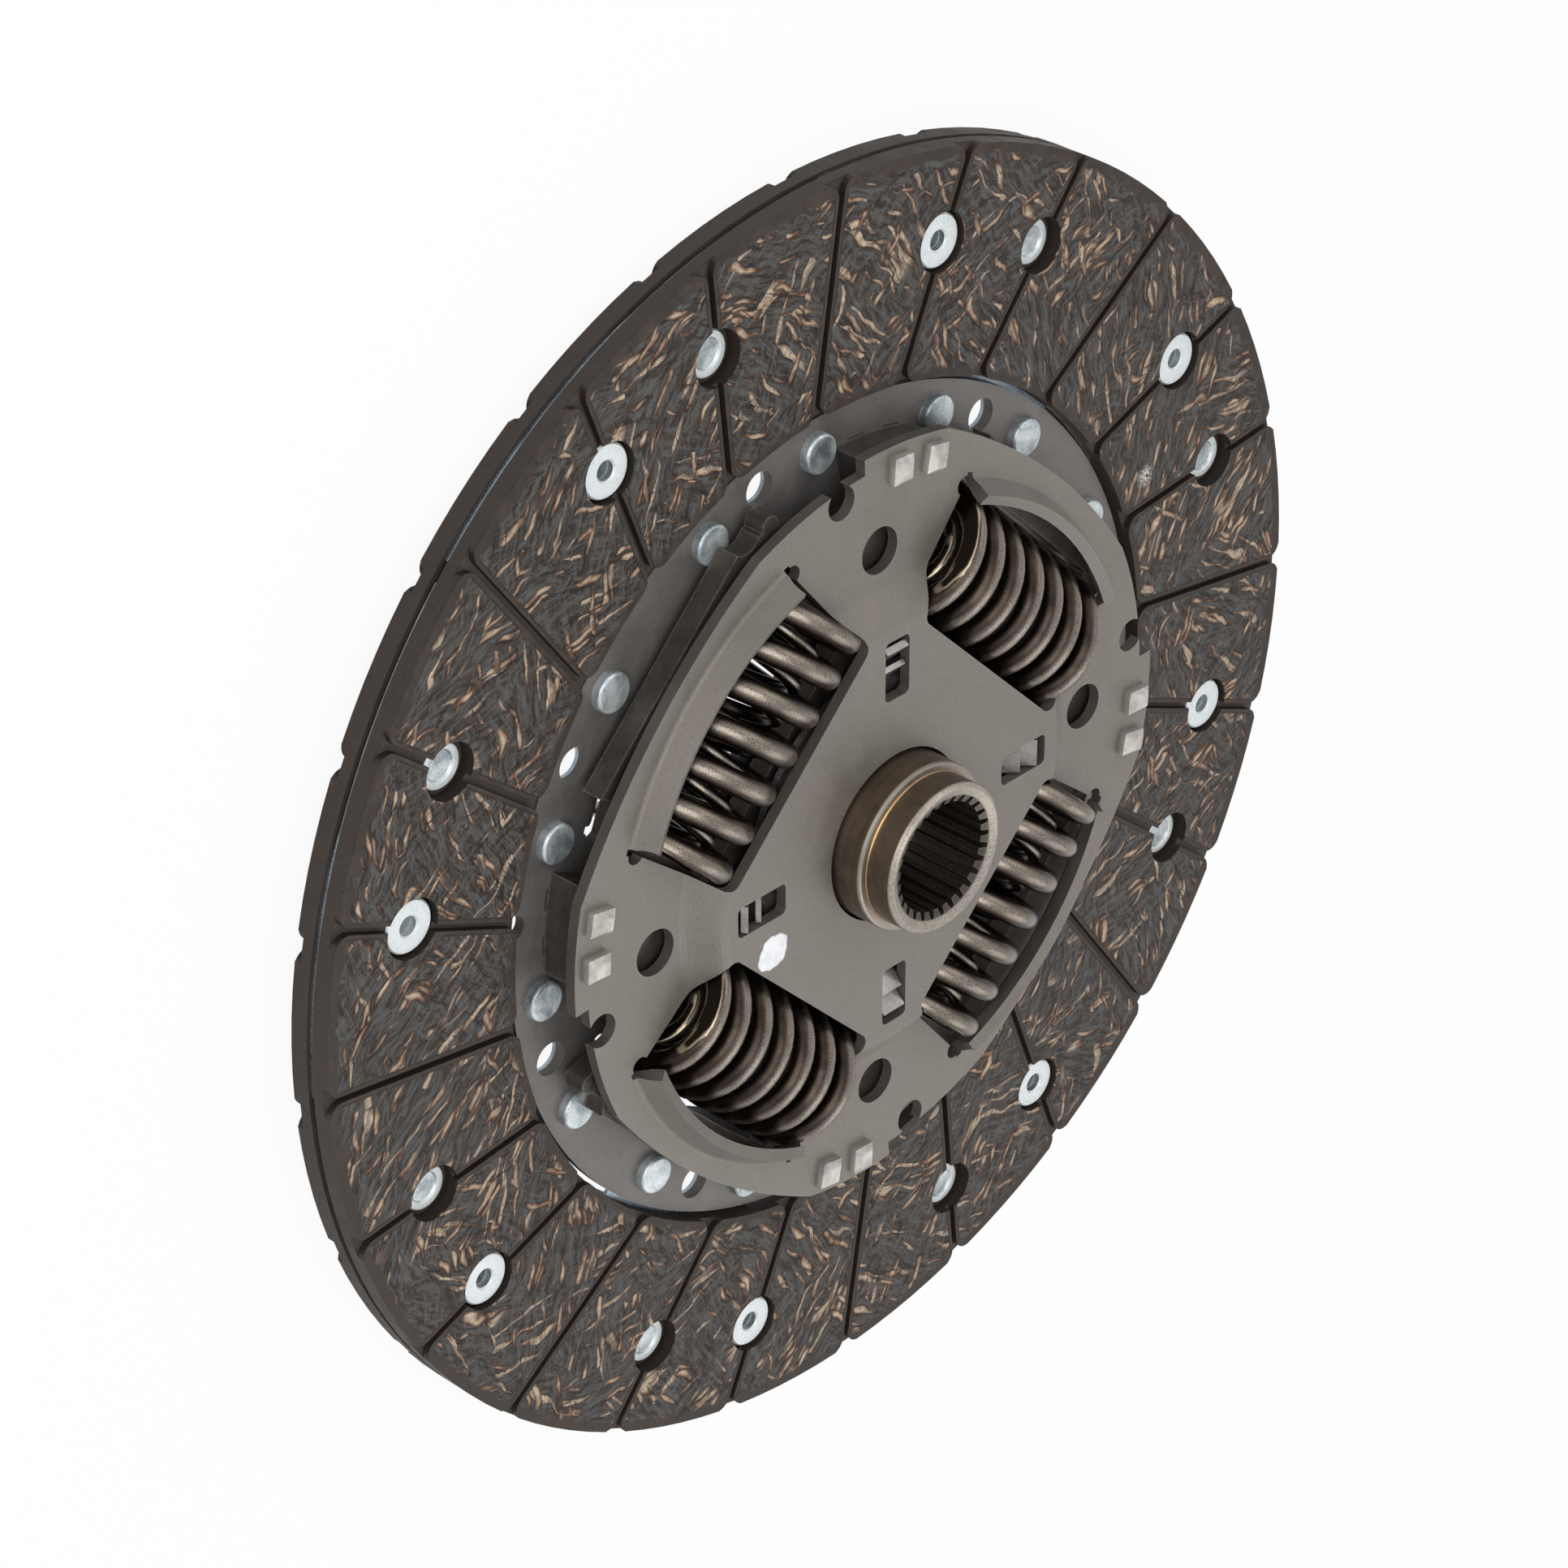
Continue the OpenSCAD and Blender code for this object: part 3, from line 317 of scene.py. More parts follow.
# share of each layer's own colour, and how far it stands out or in
pressed = {
    "Vein": (0.5, 0.3), "Crack": (0.8, -0.4), "ShadeRim": (0.7, -0.5), "Fibres": 0.4, "thread": 1.1,
    "pits": (0.75, -0.7), "line": (0.7, -0.5), "floor": 0.75, "hole": 0.85, "wall": 0.6, "mottle": 0.5,
}
yarnLook = {
    "patch": 17.0, "bendSize": 0.1, "bend": 10.0,  # patches of one winding direction, with bent borders
    "steep": 0.9, "flat": 0.38, "lean": 0.22,  # turn of a strand away from the ring's own direction
    "swaySize": 0.16, "sway": 4.0,
    "start": 0.64,  # the stretched noise is a strand above this
    "meet": (0.35, 0.75), "meetLoss": 0.06, "drift": 0.35, "driftTone": 1.6,
    "least": 0.2, "longer": 0.16, "ragged": 0.25, "steepness": 0.4, "loose": 0.9,  # dashes
    "fibres": (2.5, 7.0, 1.0), "veins": (1.7, 1.9, 1.0), "veinPlace": (7.0, 3.0, 0.0),
}


# one layer of yarns: patches turn the coordinates by the way the yarn was wound there, and what
# stands out of a long narrow noise is a strand
def makeYarns():
    group, given, out = newGroup(
        "yarnLayer",
        [("Place", "Vector", None), ("Seed", "Float", 0.0), ("Length", "Float", 15.0),
         ("Width", "Float", 2.0), ("Dashes", "Float", 0.0)],
        ["Mask", "ShadeRim", "LitRidgeTone", "Fibres", "Vein", "Crack"])
    flat = vectors(group, "MULTIPLY_ADD", given["Place"], (1, 1, 0), given["Seed"])
    shift = noise(group, flat, yarnLook["bendSize"], 2.0, out=1)
    bent = vectors(group, "MULTIPLY_ADD", shift, (yarnLook["bend"], yarnLook["bend"], 0), flat)
    patch = cells(group, bent, 1 / yarnLook["patch"])
    thin = windYarns(group, given, flat, patch)
    body = noise(group, thin, 1.0, 0.6, 0.4, flat="2D")
    # strands thin out where two patches meet
    meet = spread(group, patch["Distance"], *yarnLook["meet"], (0.0, yarnLook["meetLoss"]))
    over = sums(group, "SUBTRACT", sums(group, "SUBTRACT", body, meet), yarnLook["start"])
    drift = noise(group, flat, yarnLook["drift"], 2.0)
    drift = sums(group, "SUBTRACT", drift, 0.5)
    # a dash is what lies near the middle of a stretched cell, in some of the cells
    cell = cells(group, thin, 1.0, yarnLook["loose"])
    chance, size, _ = parts(group, cell["Color"])
    reach = sums(group, "MULTIPLY_ADD", size, yarnLook["longer"], yarnLook["least"])
    reach = sums(group, "MULTIPLY_ADD", drift, yarnLook["ragged"], reach)
    dash = times(group, sums(group, "SUBTRACT", reach, cell["Distance"]), yarnLook["steepness"])
    dash = sums(group, "SUBTRACT", dash, sums(group, "GREATER_THAN", chance, given["Dashes"]))
    short = sums(group, "GREATER_THAN", given["Dashes"], 0.0)
    over = sums(group, "MULTIPLY_ADD", sums(group, "SUBTRACT", dash, over), short, over)
    fibres = noise(group, scaled(group, thin, yarnLook["fibres"]), 1.0, 3.0, 0.6, flat="2D")
    veins = scaled(group, thin, yarnLook["veins"], yarnLook["veinPlace"])
    vein = noise(group, veins, 1.0, 3.0, 0.65, flat="2D")
    # painted highlight: each strand is lighter along its middle and browner at its edges, as if lit along its
    # ridge, and drift adds tone at random
    tone = spread(group, over, 0.0, 0.11, (0.0, 0.85), smooth=False)
    tone = sums(group, "MULTIPLY_ADD", drift, yarnLook["driftTone"], tone, clamp=True)
    feed(group, out["Mask"], spread(group, over, 0.0, 0.02))
    # painted shade: a thin dark rim just outside each strand
    feed(group, out["ShadeRim"], spread(group, over, -0.035, -0.003))
    feed(group, out["LitRidgeTone"], tone)
    feed(group, out["Fibres"], spread(group, fibres, 0.35, 0.65))
    feed(group, out["Vein"], spread(group, vein, 0.53, 0.6))
    feed(group, out["Crack"], spread(group, vein, 0.38, 0.33))
    return group


# coordinates along and across the yarn, which runs round the ring at its edges and across it in the
# middle, this way or that
def windYarns(group, given, flat, patch):
    x, y, _ = parts(group, patch["Position"])
    x = sums(group, "SUBTRACT", x, given["Seed"])
    y = sums(group, "SUBTRACT", y, given["Seed"])
    middle, half = (lining["rim"] + lining["bore"]) / 2, (lining["rim"] - lining["bore"]) / 2
    off = sums(group, "DIVIDE", sums(group, "SUBTRACT", fromAxis(group, x, y), middle), half)
    ends = (yarnLook["steep"], yarnLook["flat"])
    steep = spread(group, times(group, off, off), 0.0, 1.0, ends, smooth=False)
    pick, lean, _ = parts(group, patch["Color"])
    side = sums(group, "MULTIPLY_ADD", sums(group, "GREATER_THAN", pick, 0.5), 2.0, -1.0)
    way = sums(group, "MULTIPLY_ADD", side, steep, math.pi / 2)
    way = sums(group, "ADD", way, spread(group, lean, 0, 1, (-yarnLook["lean"], yarnLook["lean"])))
    way = sums(group, "ADD", way, sums(group, "ARCTAN2", y, x))
    shift = noise(group, flat, yarnLook["swaySize"], 1.0, 0.5, out=1)
    swayed = vectors(group, "MULTIPLY_ADD", shift, (yarnLook["sway"], yarnLook["sway"], 0), flat)
    u, v, _ = parts(group, turned(group, swayed, times(group, way, -1.0)))
    along = sums(group, "DIVIDE", u, given["Length"])
    return joined(group, along, sums(group, "DIVIDE", v, given["Width"]))


yarns = makeYarns()


# distance from the middle line of the nearest groove; the rear ring is the front one turned over
def grooveDistance(tree, x, y, z, radius):
    side = spread(tree, z, lining["middle"] - 0.1, lining["middle"] + 0.1, (-1, 1))
    angle = times(tree, side, sums(tree, "ARCTAN2", y, x))
    angle = sums(tree, "ADD", angle, times(tree, sums(tree, "SUBTRACT", 1.0, side), lining["flip"]))
    tilt = sums(tree, "ARCSINE", sums(tree, "DIVIDE", lining["line"], radius))
    phase = sums(tree, "SUBTRACT", sums(tree, "SUBTRACT", angle, tilt), lining["first"])
    phase = sums(tree, "WRAP", phase, lining["pitch"] / 2, -lining["pitch"] / 2)
    across = times(tree, radius, sums(tree, "SINE", sums(tree, "ADD", phase, tilt)))
    return apart(tree, across, lining["line"])


# lays the three layers of yarn in the resin, where the face is
def pressYarns(tree, spot, face, colour, height):
    for seed, length, width, dashes in lining["layers"]:
        layer = place(tree, yarns, Place=spot, Seed=seed, Length=length, Width=width, Dashes=dashes)
        # veins and cracks are the yarn's own marks, the dark rim round each strand is painted shade
        for name, tint in (("Vein", "slate"), ("Crack", "outline"), ("ShadeRim", "outline")):
            share, rise = pressed[name]
            mark = times(tree, layer[name], face)
            colour = layOver(tree, colour, lining[tint], mark, share)
            height = sums(tree, "MULTIPLY_ADD", mark, rise, height)
        thread = ramp(tree, layer["LitRidgeTone"], *lining["yarns"])
        thread = layOver(tree, thread, lining["fibre"], layer["Fibres"], pressed["Fibres"])
        mask = times(tree, layer["Mask"], face)
        colour = layOver(tree, colour, thread, mask)
        height = sums(tree, "MULTIPLY_ADD", times(tree, mask, layer["LitRidgeTone"]), pressed["thread"], height)
    return colour, height


# the walls of grooves and holes are darkened with dust and painted shade, with a few painted glints, the rim
# is plain resin
def dustAndShadeWalls(tree, radius, depth, dust, colour):
    within = times(tree, spread(tree, radius, lining["bore"] + 0.2, lining["bore"] + 0.5),
                   spread(tree, radius, lining["rim"] - 0.2, lining["rim"] - 0.5))
    up = parts(tree, put(tree, "ShaderNodeNewGeometry").outputs["Normal"])[2]
    upright = spread(tree, sums(tree, "ABSOLUTE", up), 0.8, 0.4)
    floor = times(tree, spread(tree, depth, 0.6, 1.1), within)
    colour = layOver(tree, colour, lining["floor"], floor, pressed["floor"])
    sunk = times(tree, spread(tree, depth, 0.02, 0.25), within, upright)
    colour = layOver(tree, colour, lining["hole"], sunk, pressed["hole"])
    # painted glints on the shaded walls
    paintedGlint = times(tree, spread(tree, dust, 0.66, 0.72), sunk)
    colour = layOver(tree, colour, lining["slate"], paintedGlint)
    wall = times(tree, sums(tree, "SUBTRACT", 1.0, within), spread(tree, depth, 0.2, 0.5))
    return layOver(tree, colour, lining["wall"], wall, pressed["wall"])


def liningFinish():
    material, tree, skin, spot = newFinish("frictionLining")
    x, y, z = parts(tree, spot)
    radius = fromAxis(tree, x, y)
    depth = sums(tree, "SUBTRACT", lining["half"], apart(tree, z, lining["middle"]))
    skinDeep = spread(tree, depth, 0.5, 0.1)
    ragged = noise(tree, spot, *lining["ragged"])
    outer = sums(tree, "MULTIPLY_ADD", ragged, 3.0, radius)
    edgeOut = spread(tree, outer, lining["rim"] - 0.1, lining["rim"] - 1.0)
    inner = sums(tree, "MULTIPLY_ADD", ragged, -3.0, radius)
    edgeIn = spread(tree, inner, lining["bore"] - 0.6, lining["bore"] + 0.6)
    across = grooveDistance(tree, x, y, z, radius)
    across = sums(tree, "MULTIPLY_ADD", sums(tree, "SUBTRACT", ragged, 0.5), 0.5, across)
    beside = spread(tree, across, lining["margin"] - 0.1, lining["margin"] + 0.25)
    face = times(tree, edgeOut, edgeIn, skinDeep, beside)

    mottle = noise(tree, spot, *lining["mottle"])
    dust = noise(tree, spot, *lining["dust"])
    tone = sums(tree, "MULTIPLY_ADD", dust, 0.5, times(tree, mottle, 0.9))
    colour = layOver(tree, lining["resinDark"], lining["resin"], spread(tree, tone, 0.55, 0.88))
    height = times(tree, mottle, pressed["mottle"])
    colour, height = pressYarns(tree, spot, face, colour, height)
    pits = spread(tree, noise(tree, spot, *lining["pits"]), 0.35, 0.28)
    colour = layOver(tree, colour, lining["dirt"], pits, pressed["pits"][0])
    height = sums(tree, "MULTIPLY_ADD", pits, pressed["pits"][1], height)

    # a small pale smear on the front ring
    away = vectors(tree, "DISTANCE", spot, lining["smear"], out="Value")
    smear = times(tree, spread(tree, away, *lining["smearReach"]), spread(tree, dust, 0.44, 0.6))
    colour = layOver(tree, colour, lining["smearColour"], smear)

    # a faint painted shadow line runs beside each groove
    grooveShadowBand = spread(tree, apart(tree, across, lining["margin"]), 0.16, 0.05)
    line = times(tree, grooveShadowBand, skinDeep, edgeOut, spread(tree, ragged, 0.35, 0.5))
    colour = layOver(tree, colour, lining["outline"], line, pressed["line"][0])
    height = sums(tree, "MULTIPLY_ADD", line, pressed["line"][1], height)

    colour = dustAndShadeWalls(tree, radius, depth, dust, colour)
    skin.inputs["Specular IOR Level"].default_value = lining["specular"]
    rough = spread(tree, mottle, 0.3, 0.7, lining["gloss"])
    dress(tree, skin, colour, 0.0, rough, height, lining["relief"], lining["strength"])
    return material


# plated rivets: clouded blue-grey, with a dull chalky skin where a tail was flared
zinc = {
    "high": shade(208, 215, 217), "low": shade(104, 116, 122), "chalk": shade(212, 217, 218),
    "rim": shade(222, 226, 226), "highlightRimWidth": 0.3, "highlightRimShare": 0.7,
    "grain": 0.45, "grainShare": 0.3, "clouds": 5.5, "cloudShare": 0.8,
    "middle": 6.9, "ring": (1.55, 1.65, 2.0, 1.9), "tail": (2.85, 2.95),  # distances from the middle
    "metal": 0.6, "gloss": (0.34, 0.46), "chalkRough": 0.25, "relief": 0.05, "strength": 0.6,
}


def zincFinish(name, flared):
    material, tree, skin, spot = newFinish(name)
    cloud = place(tree, grain, Place=spot, Size=zinc["grain"], Cloud=zinc["clouds"])
    tone = times(tree, cloud["Clouds"], zinc["cloudShare"])
    tone = sums(tree, "MULTIPLY_ADD", cloud["Fine"], zinc["grainShare"], tone, clamp=True)
    colour = layOver(tree, zinc["low"], zinc["high"], tone)
    # a painted highlight along the rounded rims of the heads
    colour = layOver(tree, colour, zinc["rim"], worn(tree, spot, zinc["highlightRimWidth"]), zinc["highlightRimShare"])
    rough = spread(tree, cloud["Clouds"], 0, 1, zinc["gloss"])
    if flared:
        deep = apart(tree, parts(tree, spot)[2], zinc["middle"])
        ring = times(tree, spread(tree, deep, *zinc["ring"][:2]), spread(tree, deep, *zinc["ring"][2:]))
        dull = sums(tree, "MAXIMUM", spread(tree, deep, *zinc["tail"]), ring)
        dull = times(tree, dull, spread(tree, cloud["Fine"], 0.0, 0.6, (0.7, 1.0)))
        colour = layOver(tree, colour, zinc["chalk"], dull)
        rough = sums(tree, "MULTIPLY_ADD", dull, zinc["chalkRough"], rough)
    dress(tree, skin, colour, zinc["metal"], rough, cloud["Height"], zinc["relief"], zinc["strength"])
    return material


# spring wire: its own UV map runs along it, in millimetres, and once round it
coilWire = {
    "brown": shade(45, 38, 33), "bronze": shade(66, 57, 50), "oil": shade(42, 35, 30), "oilShare": 0.45,
    # worn is the colour of that painted highlight along the wire's outer side
    "worn": shade(180, 169, 157), "wornShare": 0.58, "highlightBand": (0.76, 1.04),
    "ground": shade(48, 41, 35), "rim": shade(176, 163, 142),
    "streaks": (0.12, 22.0), "grain": 0.16, "clouds": 4.0,
    "metal": 0.95, "gloss": (0.24, 0.36), "relief": 0.02, "strength": 0.5,
}


def coilFinish():
    material, tree, skin, spot = newFinish("springWire")
    u, v, _ = parts(tree, put(tree, "ShaderNodeUVMap", uv_map="wire").outputs[0])
    along, around = coilWire["streaks"]
    lines = joined(tree, times(tree, u, along), times(tree, v, around))
    streak = spread(tree, noise(tree, lines, 1.0, 4.0, 0.7), 0.42, 0.64)
    speck = place(tree, grain, Place=spot, Size=coilWire["grain"], Cloud=coilWire["clouds"])
    colour = layOver(tree, coilWire["brown"], coilWire["bronze"], speck["Clouds"])
    colour = layOver(tree, colour, coilWire["oil"], streak, coilWire["oilShare"])
    # painted highlight, with some rubbed wear: the side away from the spring's own axis is made lighter, in
    # grains
    highlightBand = spread(tree, sums(tree, "COSINE", times(tree, v, 2 * math.pi)), *coilWire["highlightBand"])
    paintedHighlight = times(tree, highlightBand, spread(tree, speck["Fine"], -0.2, 0.9))
    colour = layOver(tree, colour, coilWire["worn"], paintedHighlight, coilWire["wornShare"])
    # the ends are ground flat: dark, with a bright rim
    ground = put(tree, "ShaderNodeAttribute", attribute_name="ground").outputs["Fac"]
    colour = layOver(tree, colour, coilWire["rim"], spread(tree, ground, 0.2, 0.5))
    colour = layOver(tree, colour, coilWire["ground"], spread(tree, ground, 0.7, 0.95))
    rough = spread(tree, speck["Fine"], 0, 1, coilWire["gloss"])
    dress(tree, skin, colour, coilWire["metal"], rough, speck["Height"], coilWire["relief"],
          coilWire["strength"])
    return material


hubMetal = {
    "high": shade(122, 107, 91), "low": shade(78, 68, 59), "end": shade(166, 160, 151),
    "teeth": shade(60, 57, 52), "teethShare": 0.85, "bore": (11.3, 10.9),
    "goldGlint": shade(196, 156, 104), "highlightFacing": math.radians(44), "highlightReach": (0.84, 1.0),
    "lathe": 6.0, "grain": 0.35, "clouds": 5.0,
    "bead": (27.4, 28.0, 13.5, 13.8),  # height and radius where the shoulder's bead sets in
    "cornerAt": 28.35, "cornerWide": (0.35, 0.1), "cornerIn": (13.75, 13.5),
    "endFace": (32.7, 33.5), "edgeWidth": 0.3, "edgeShare": 0.45,
    "metal": 0.8, "gloss": (0.32, 0.46), "relief": 0.02, "strength": 0.6,
}


def hubFinish():
    material, tree, skin, spot = newFinish("hubSteel")
    x, y, z = parts(tree, spot)
    radius = fromAxis(tree, x, y)
    # lathe marks run round the axis, so they change only along it and outwards
    lathe = joined(tree, times(tree, radius, hubMetal["lathe"]), times(tree, z, hubMetal["lathe"]))
    marks = noise(tree, lathe, 1.0, 3.0, 0.6, flat="2D")
    cloud = place(tree, grain, Place=spot, Size=hubMetal["grain"], Cloud=hubMetal["clouds"])
    tone = times(tree, cloud["Clouds"], 0.5)
    tone = sums(tree, "MULTIPLY_ADD", spread(tree, marks, 0.3, 0.7), 0.5, tone)
    colour = layOver(tree, hubMetal["low"], hubMetal["high"], tone)
    # the shoulder's bead is bare steel with a painted highlight that is brightest on one side, and the thin
    # golden line in its inner corner is a painted glint, brightest on the same side
    toward = sums(tree, "COSINE", sums(tree, "SUBTRACT", sums(tree, "ARCTAN2", y, x), hubMetal["highlightFacing"]))
    toward = spread(tree, toward, *hubMetal["highlightReach"])
    low, high, inside, outside = hubMetal["bead"]
    bead = times(tree, spread(tree, z, low, high), spread(tree, radius, inside, outside),
                 sums(tree, "MULTIPLY_ADD", toward, 0.35, 0.5))
    colour = layOver(tree, colour, hubMetal["end"], bead)
    corner = spread(tree, apart(tree, z, hubMetal["cornerAt"]), *hubMetal["cornerWide"])
    corner = times(tree, corner, spread(tree, radius, *hubMetal["cornerIn"]),
                   sums(tree, "MULTIPLY_ADD", toward, 0.7, 0.25))
    colour = layOver(tree, colour, hubMetal["goldGlint"], corner)
    end = spread(tree, z, *hubMetal["endFace"])
    end = times(tree, end, spread(tree, cloud["Fine"], 0.1, 0.9, (0.4, 0.95)))
    colour = layOver(tree, colour, hubMetal["end"], end)
    bore = spread(tree, radius, *hubMetal["bore"])
    colour = layOver(tree, colour, hubMetal["teeth"], bore, hubMetal["teethShare"])
    edge = worn(tree, spot, hubMetal["edgeWidth"])
    colour = layOver(tree, colour, hubMetal["end"], edge, hubMetal["edgeShare"])
    rough = spread(tree, cloud["Fine"], 0, 1, hubMetal["gloss"])
    dress(tree, skin, colour, hubMetal["metal"], rough, marks, hubMetal["relief"], hubMetal["strength"])
    return material


darkSteel = {
    "flange": shade(88, 81, 75), "flangeLow": shade(60, 55, 51),
    "stop": shade(92, 87, 83), "stopLow": shade(66, 62, 59),
    "lug": shade(200, 195, 190), "lugDarkAndShaded": shade(152, 147, 142),
    # lugBaseShade is the height over which the painted shade at a lug's base fades out
    "front": (18.2, 18.6), "back": (7.4, 7.0), "lugBaseShade": (18.6, 19.6),  # heights where the lugs stand out
    "worn": shade(150, 144, 136), "wornWidth": 0.5, "wornShare": 0.85,
    "grain": 0.35, "clouds": 4.0, "metal": 0.5, "gloss": (0.4, 0.54), "relief": 0.05, "strength": 0.6,
}


def darkFinish(name, high, low, lugs):
    material, tree, skin, spot = newFinish(name)
    cloud = place(tree, grain, Place=spot, Size=darkSteel["grain"], Cloud=darkSteel["clouds"])
    tone = sums(tree, "MULTIPLY_ADD", cloud["Fine"], 0.5, times(tree, cloud["Clouds"], 0.5))
    colour = layOver(tree, low, high, tone)
    edge = worn(tree, spot, darkSteel["wornWidth"])
    colour = layOver(tree, colour, darkSteel["worn"], edge, darkSteel["wornShare"])
    if lugs:
        # the staked ends are bare silver steel, darker towards the lugs' base by painted shade
        z = parts(tree, spot)[2]
        front, back = spread(tree, z, *darkSteel["front"]), spread(tree, z, *darkSteel["back"])
        bare = sums(tree, "MAXIMUM", front, back)
        silver = times(tree, cloud["Clouds"], spread(tree, z, *darkSteel["lugBaseShade"], (0.2, 1.0)))
        silver = layOver(tree, darkSteel["lugDarkAndShaded"], darkSteel["lug"], silver)
        colour = layOver(tree, colour, silver, bare)
    rough = spread(tree, cloud["Fine"], 0, 1, darkSteel["gloss"])
    dress(tree, skin, colour, darkSteel["metal"], rough, cloud["Height"], darkSteel["relief"],
          darkSteel["strength"])
    return material


# the pieces that show only in gaps and slots
plain = {
    "grain": 0.4, "grainShare": 0.3, "clouds": 7.0, "cloudShare": 0.7, "relief": 0.02, "strength": 0.5,
    "smoother": 0.06, "rougher": 0.08,
}


def plainFinish(name, high, low, metal, rough):
    material, tree, skin, spot = newFinish(name)
    cloud = place(tree, grain, Place=spot, Size=plain["grain"], Cloud=plain["clouds"])
    tone = times(tree, cloud["Clouds"], plain["cloudShare"])
    tone = sums(tree, "MULTIPLY_ADD", cloud["Fine"], plain["grainShare"], tone)
    colour = layOver(tree, low, high, tone)
    gloss = spread(tree, cloud["Fine"], 0, 1, (rough - plain["smoother"], rough + plain["rougher"]))
    dress(tree, skin, colour, metal, gloss, cloud["Height"], plain["relief"], plain["strength"])
    return material


finishes = {
    "lining": liningFinish(),
    "cover": sheetFinish("coverSheet", sheet["cover"], sheet["coverLow"]),
    "drive": sheetFinish("driveSheet", sheet["drive"], sheet["driveLow"]),
    "zinc": zincFinish("zincRivet", False),
    "chalk": zincFinish("flaredRivet", True),
    "coil": coilFinish(),
    "hub": hubFinish(),
    "flange": darkFinish("flangeSteel", darkSteel["flange"], darkSteel["flangeLow"], False),
    "stop": darkFinish("stopSteel", darkSteel["stop"], darkSteel["stopLow"], True),
    "segment": plainFinish("segmentSteel", shade(170, 184, 195), shade(106, 115, 123), 0.9, 0.3),
    "tongue": plainFinish("tongueSteel", shade(160, 154, 151), shade(104, 99, 98), 0.75, 0.32),
    "ring": plainFinish("frictionRing", shade(52, 50, 48), shade(38, 36, 35), 0.0, 0.7),
    "bush": plainFinish("bushBronze", shade(150, 124, 84), shade(120, 98, 66), 0.8, 0.45),
}
wearers = {
    "lining": ["front_facing", "rear_facing"],
    "cover": ["cover_plate"],
    "drive": ["drive_plate"],
    "zinc": ["segment_rivets"],
    "chalk": ["front_facing_rivets", "rear_facing_rivets"],
    "hub": ["hub"],
    "flange": ["hub_flange"],
    "stop": ["stop_plate_%d" % k for k in range(1, 5)],
    "segment": ["cushion_segment_%d" % k for k in range(1, 9)],
    "tongue": ["pressure_plate", "disc_spring"],
    "ring": ["front_friction_ring", "rear_friction_ring"],
    "bush": ["guide_bush"],
}
for finish, names in wearers.items():
    for name in names:
        nodes[name].data.materials.clear()
        nodes[name].data.materials.append(finishes[finish])
print("finishes placed")


# new pieces

def newPiece(name, points, faces, finish, body):
    # points in millimetres, faces as a list of whole arrays
    mesh = bpy.data.meshes.new(name)
    mesh.from_pydata((points * mm).tolist(), [], [face for block in faces for face in block.tolist()])
    mesh.polygons.foreach_set("use_smooth", [True] * len(mesh.polygons))
    mesh.materials.append(finish)
    mesh.update()
    piece = bpy.data.objects.new(name, mesh)
    bpy.context.scene.collection.objects.link(piece)
    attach(piece, body)
    return piece


# quads between neighbouring rows of a grid that closes on itself sideways
def gridFaces(rows, sides):
    row, side = np.meshgrid(np.arange(rows - 1), np.arange(sides), indexing="ij")
    here, beside = (row * sides + side).ravel(), (row * sides + (side + 1) % sides).ravel()
    return np.stack([here, beside, beside + sides, here + sides], -1)


# triangles from a middle point to a closed ring that starts at first
def fanFaces(first, sides, middle):
    ring = first + np.arange(sides)
    return np.stack([np.full(sides, middle), ring, np.roll(ring, -1)], -1)


coils = {
    "length": 44.8, "ring": 42.3, "height": 13.0, "firstBay": 45,
    "outer": {"radius": 12.6, "wire": 4.3, "turns": 7.0, "hand": 1, "steps": 44, "sides": 16},
    "inner": {"radius": 7.8, "wire": 2.5, "turns": 9.0, "hand": -1, "steps": 36, "sides": 12},
    "start": 0.08, "half": 0.3, "closed": 1.12,  # rise of the end turns, in wire diameters
    "deep": 0.2,  # what lies this far above the ground end is marked as ground away
    "keep": 0.66,  # share of the length left when the hub has turned as far as it goes
}


# height of the wire's middle over the turns: it rises slowly in the end turns and evenly between them,
# and the corners of that line are softened over a fifth of a turn
def coilRise(kind, t):
    wire, turns, length = kind["wire"], kind["turns"], coils["length"]
    low = [coils["start"] * wire, coils["half"] * wire, coils["closed"] * wire]
    high = [length - rise for rise in reversed(low)]
    height = np.interp(t, [0, 0.5, 1, turns - 1, turns - 0.5, turns], low + high) - length / 2
    soft = max(3, kind["steps"] // 5)
    before = 2 * height[0] - height[soft:0:-1]
    after = 2 * height[-1] - height[-2:-soft - 2:-1]
    window = np.ones(2 * soft + 1) / (2 * soft + 1)
    return np.convolve(np.concatenate([before, height, after]), window, mode="valid")


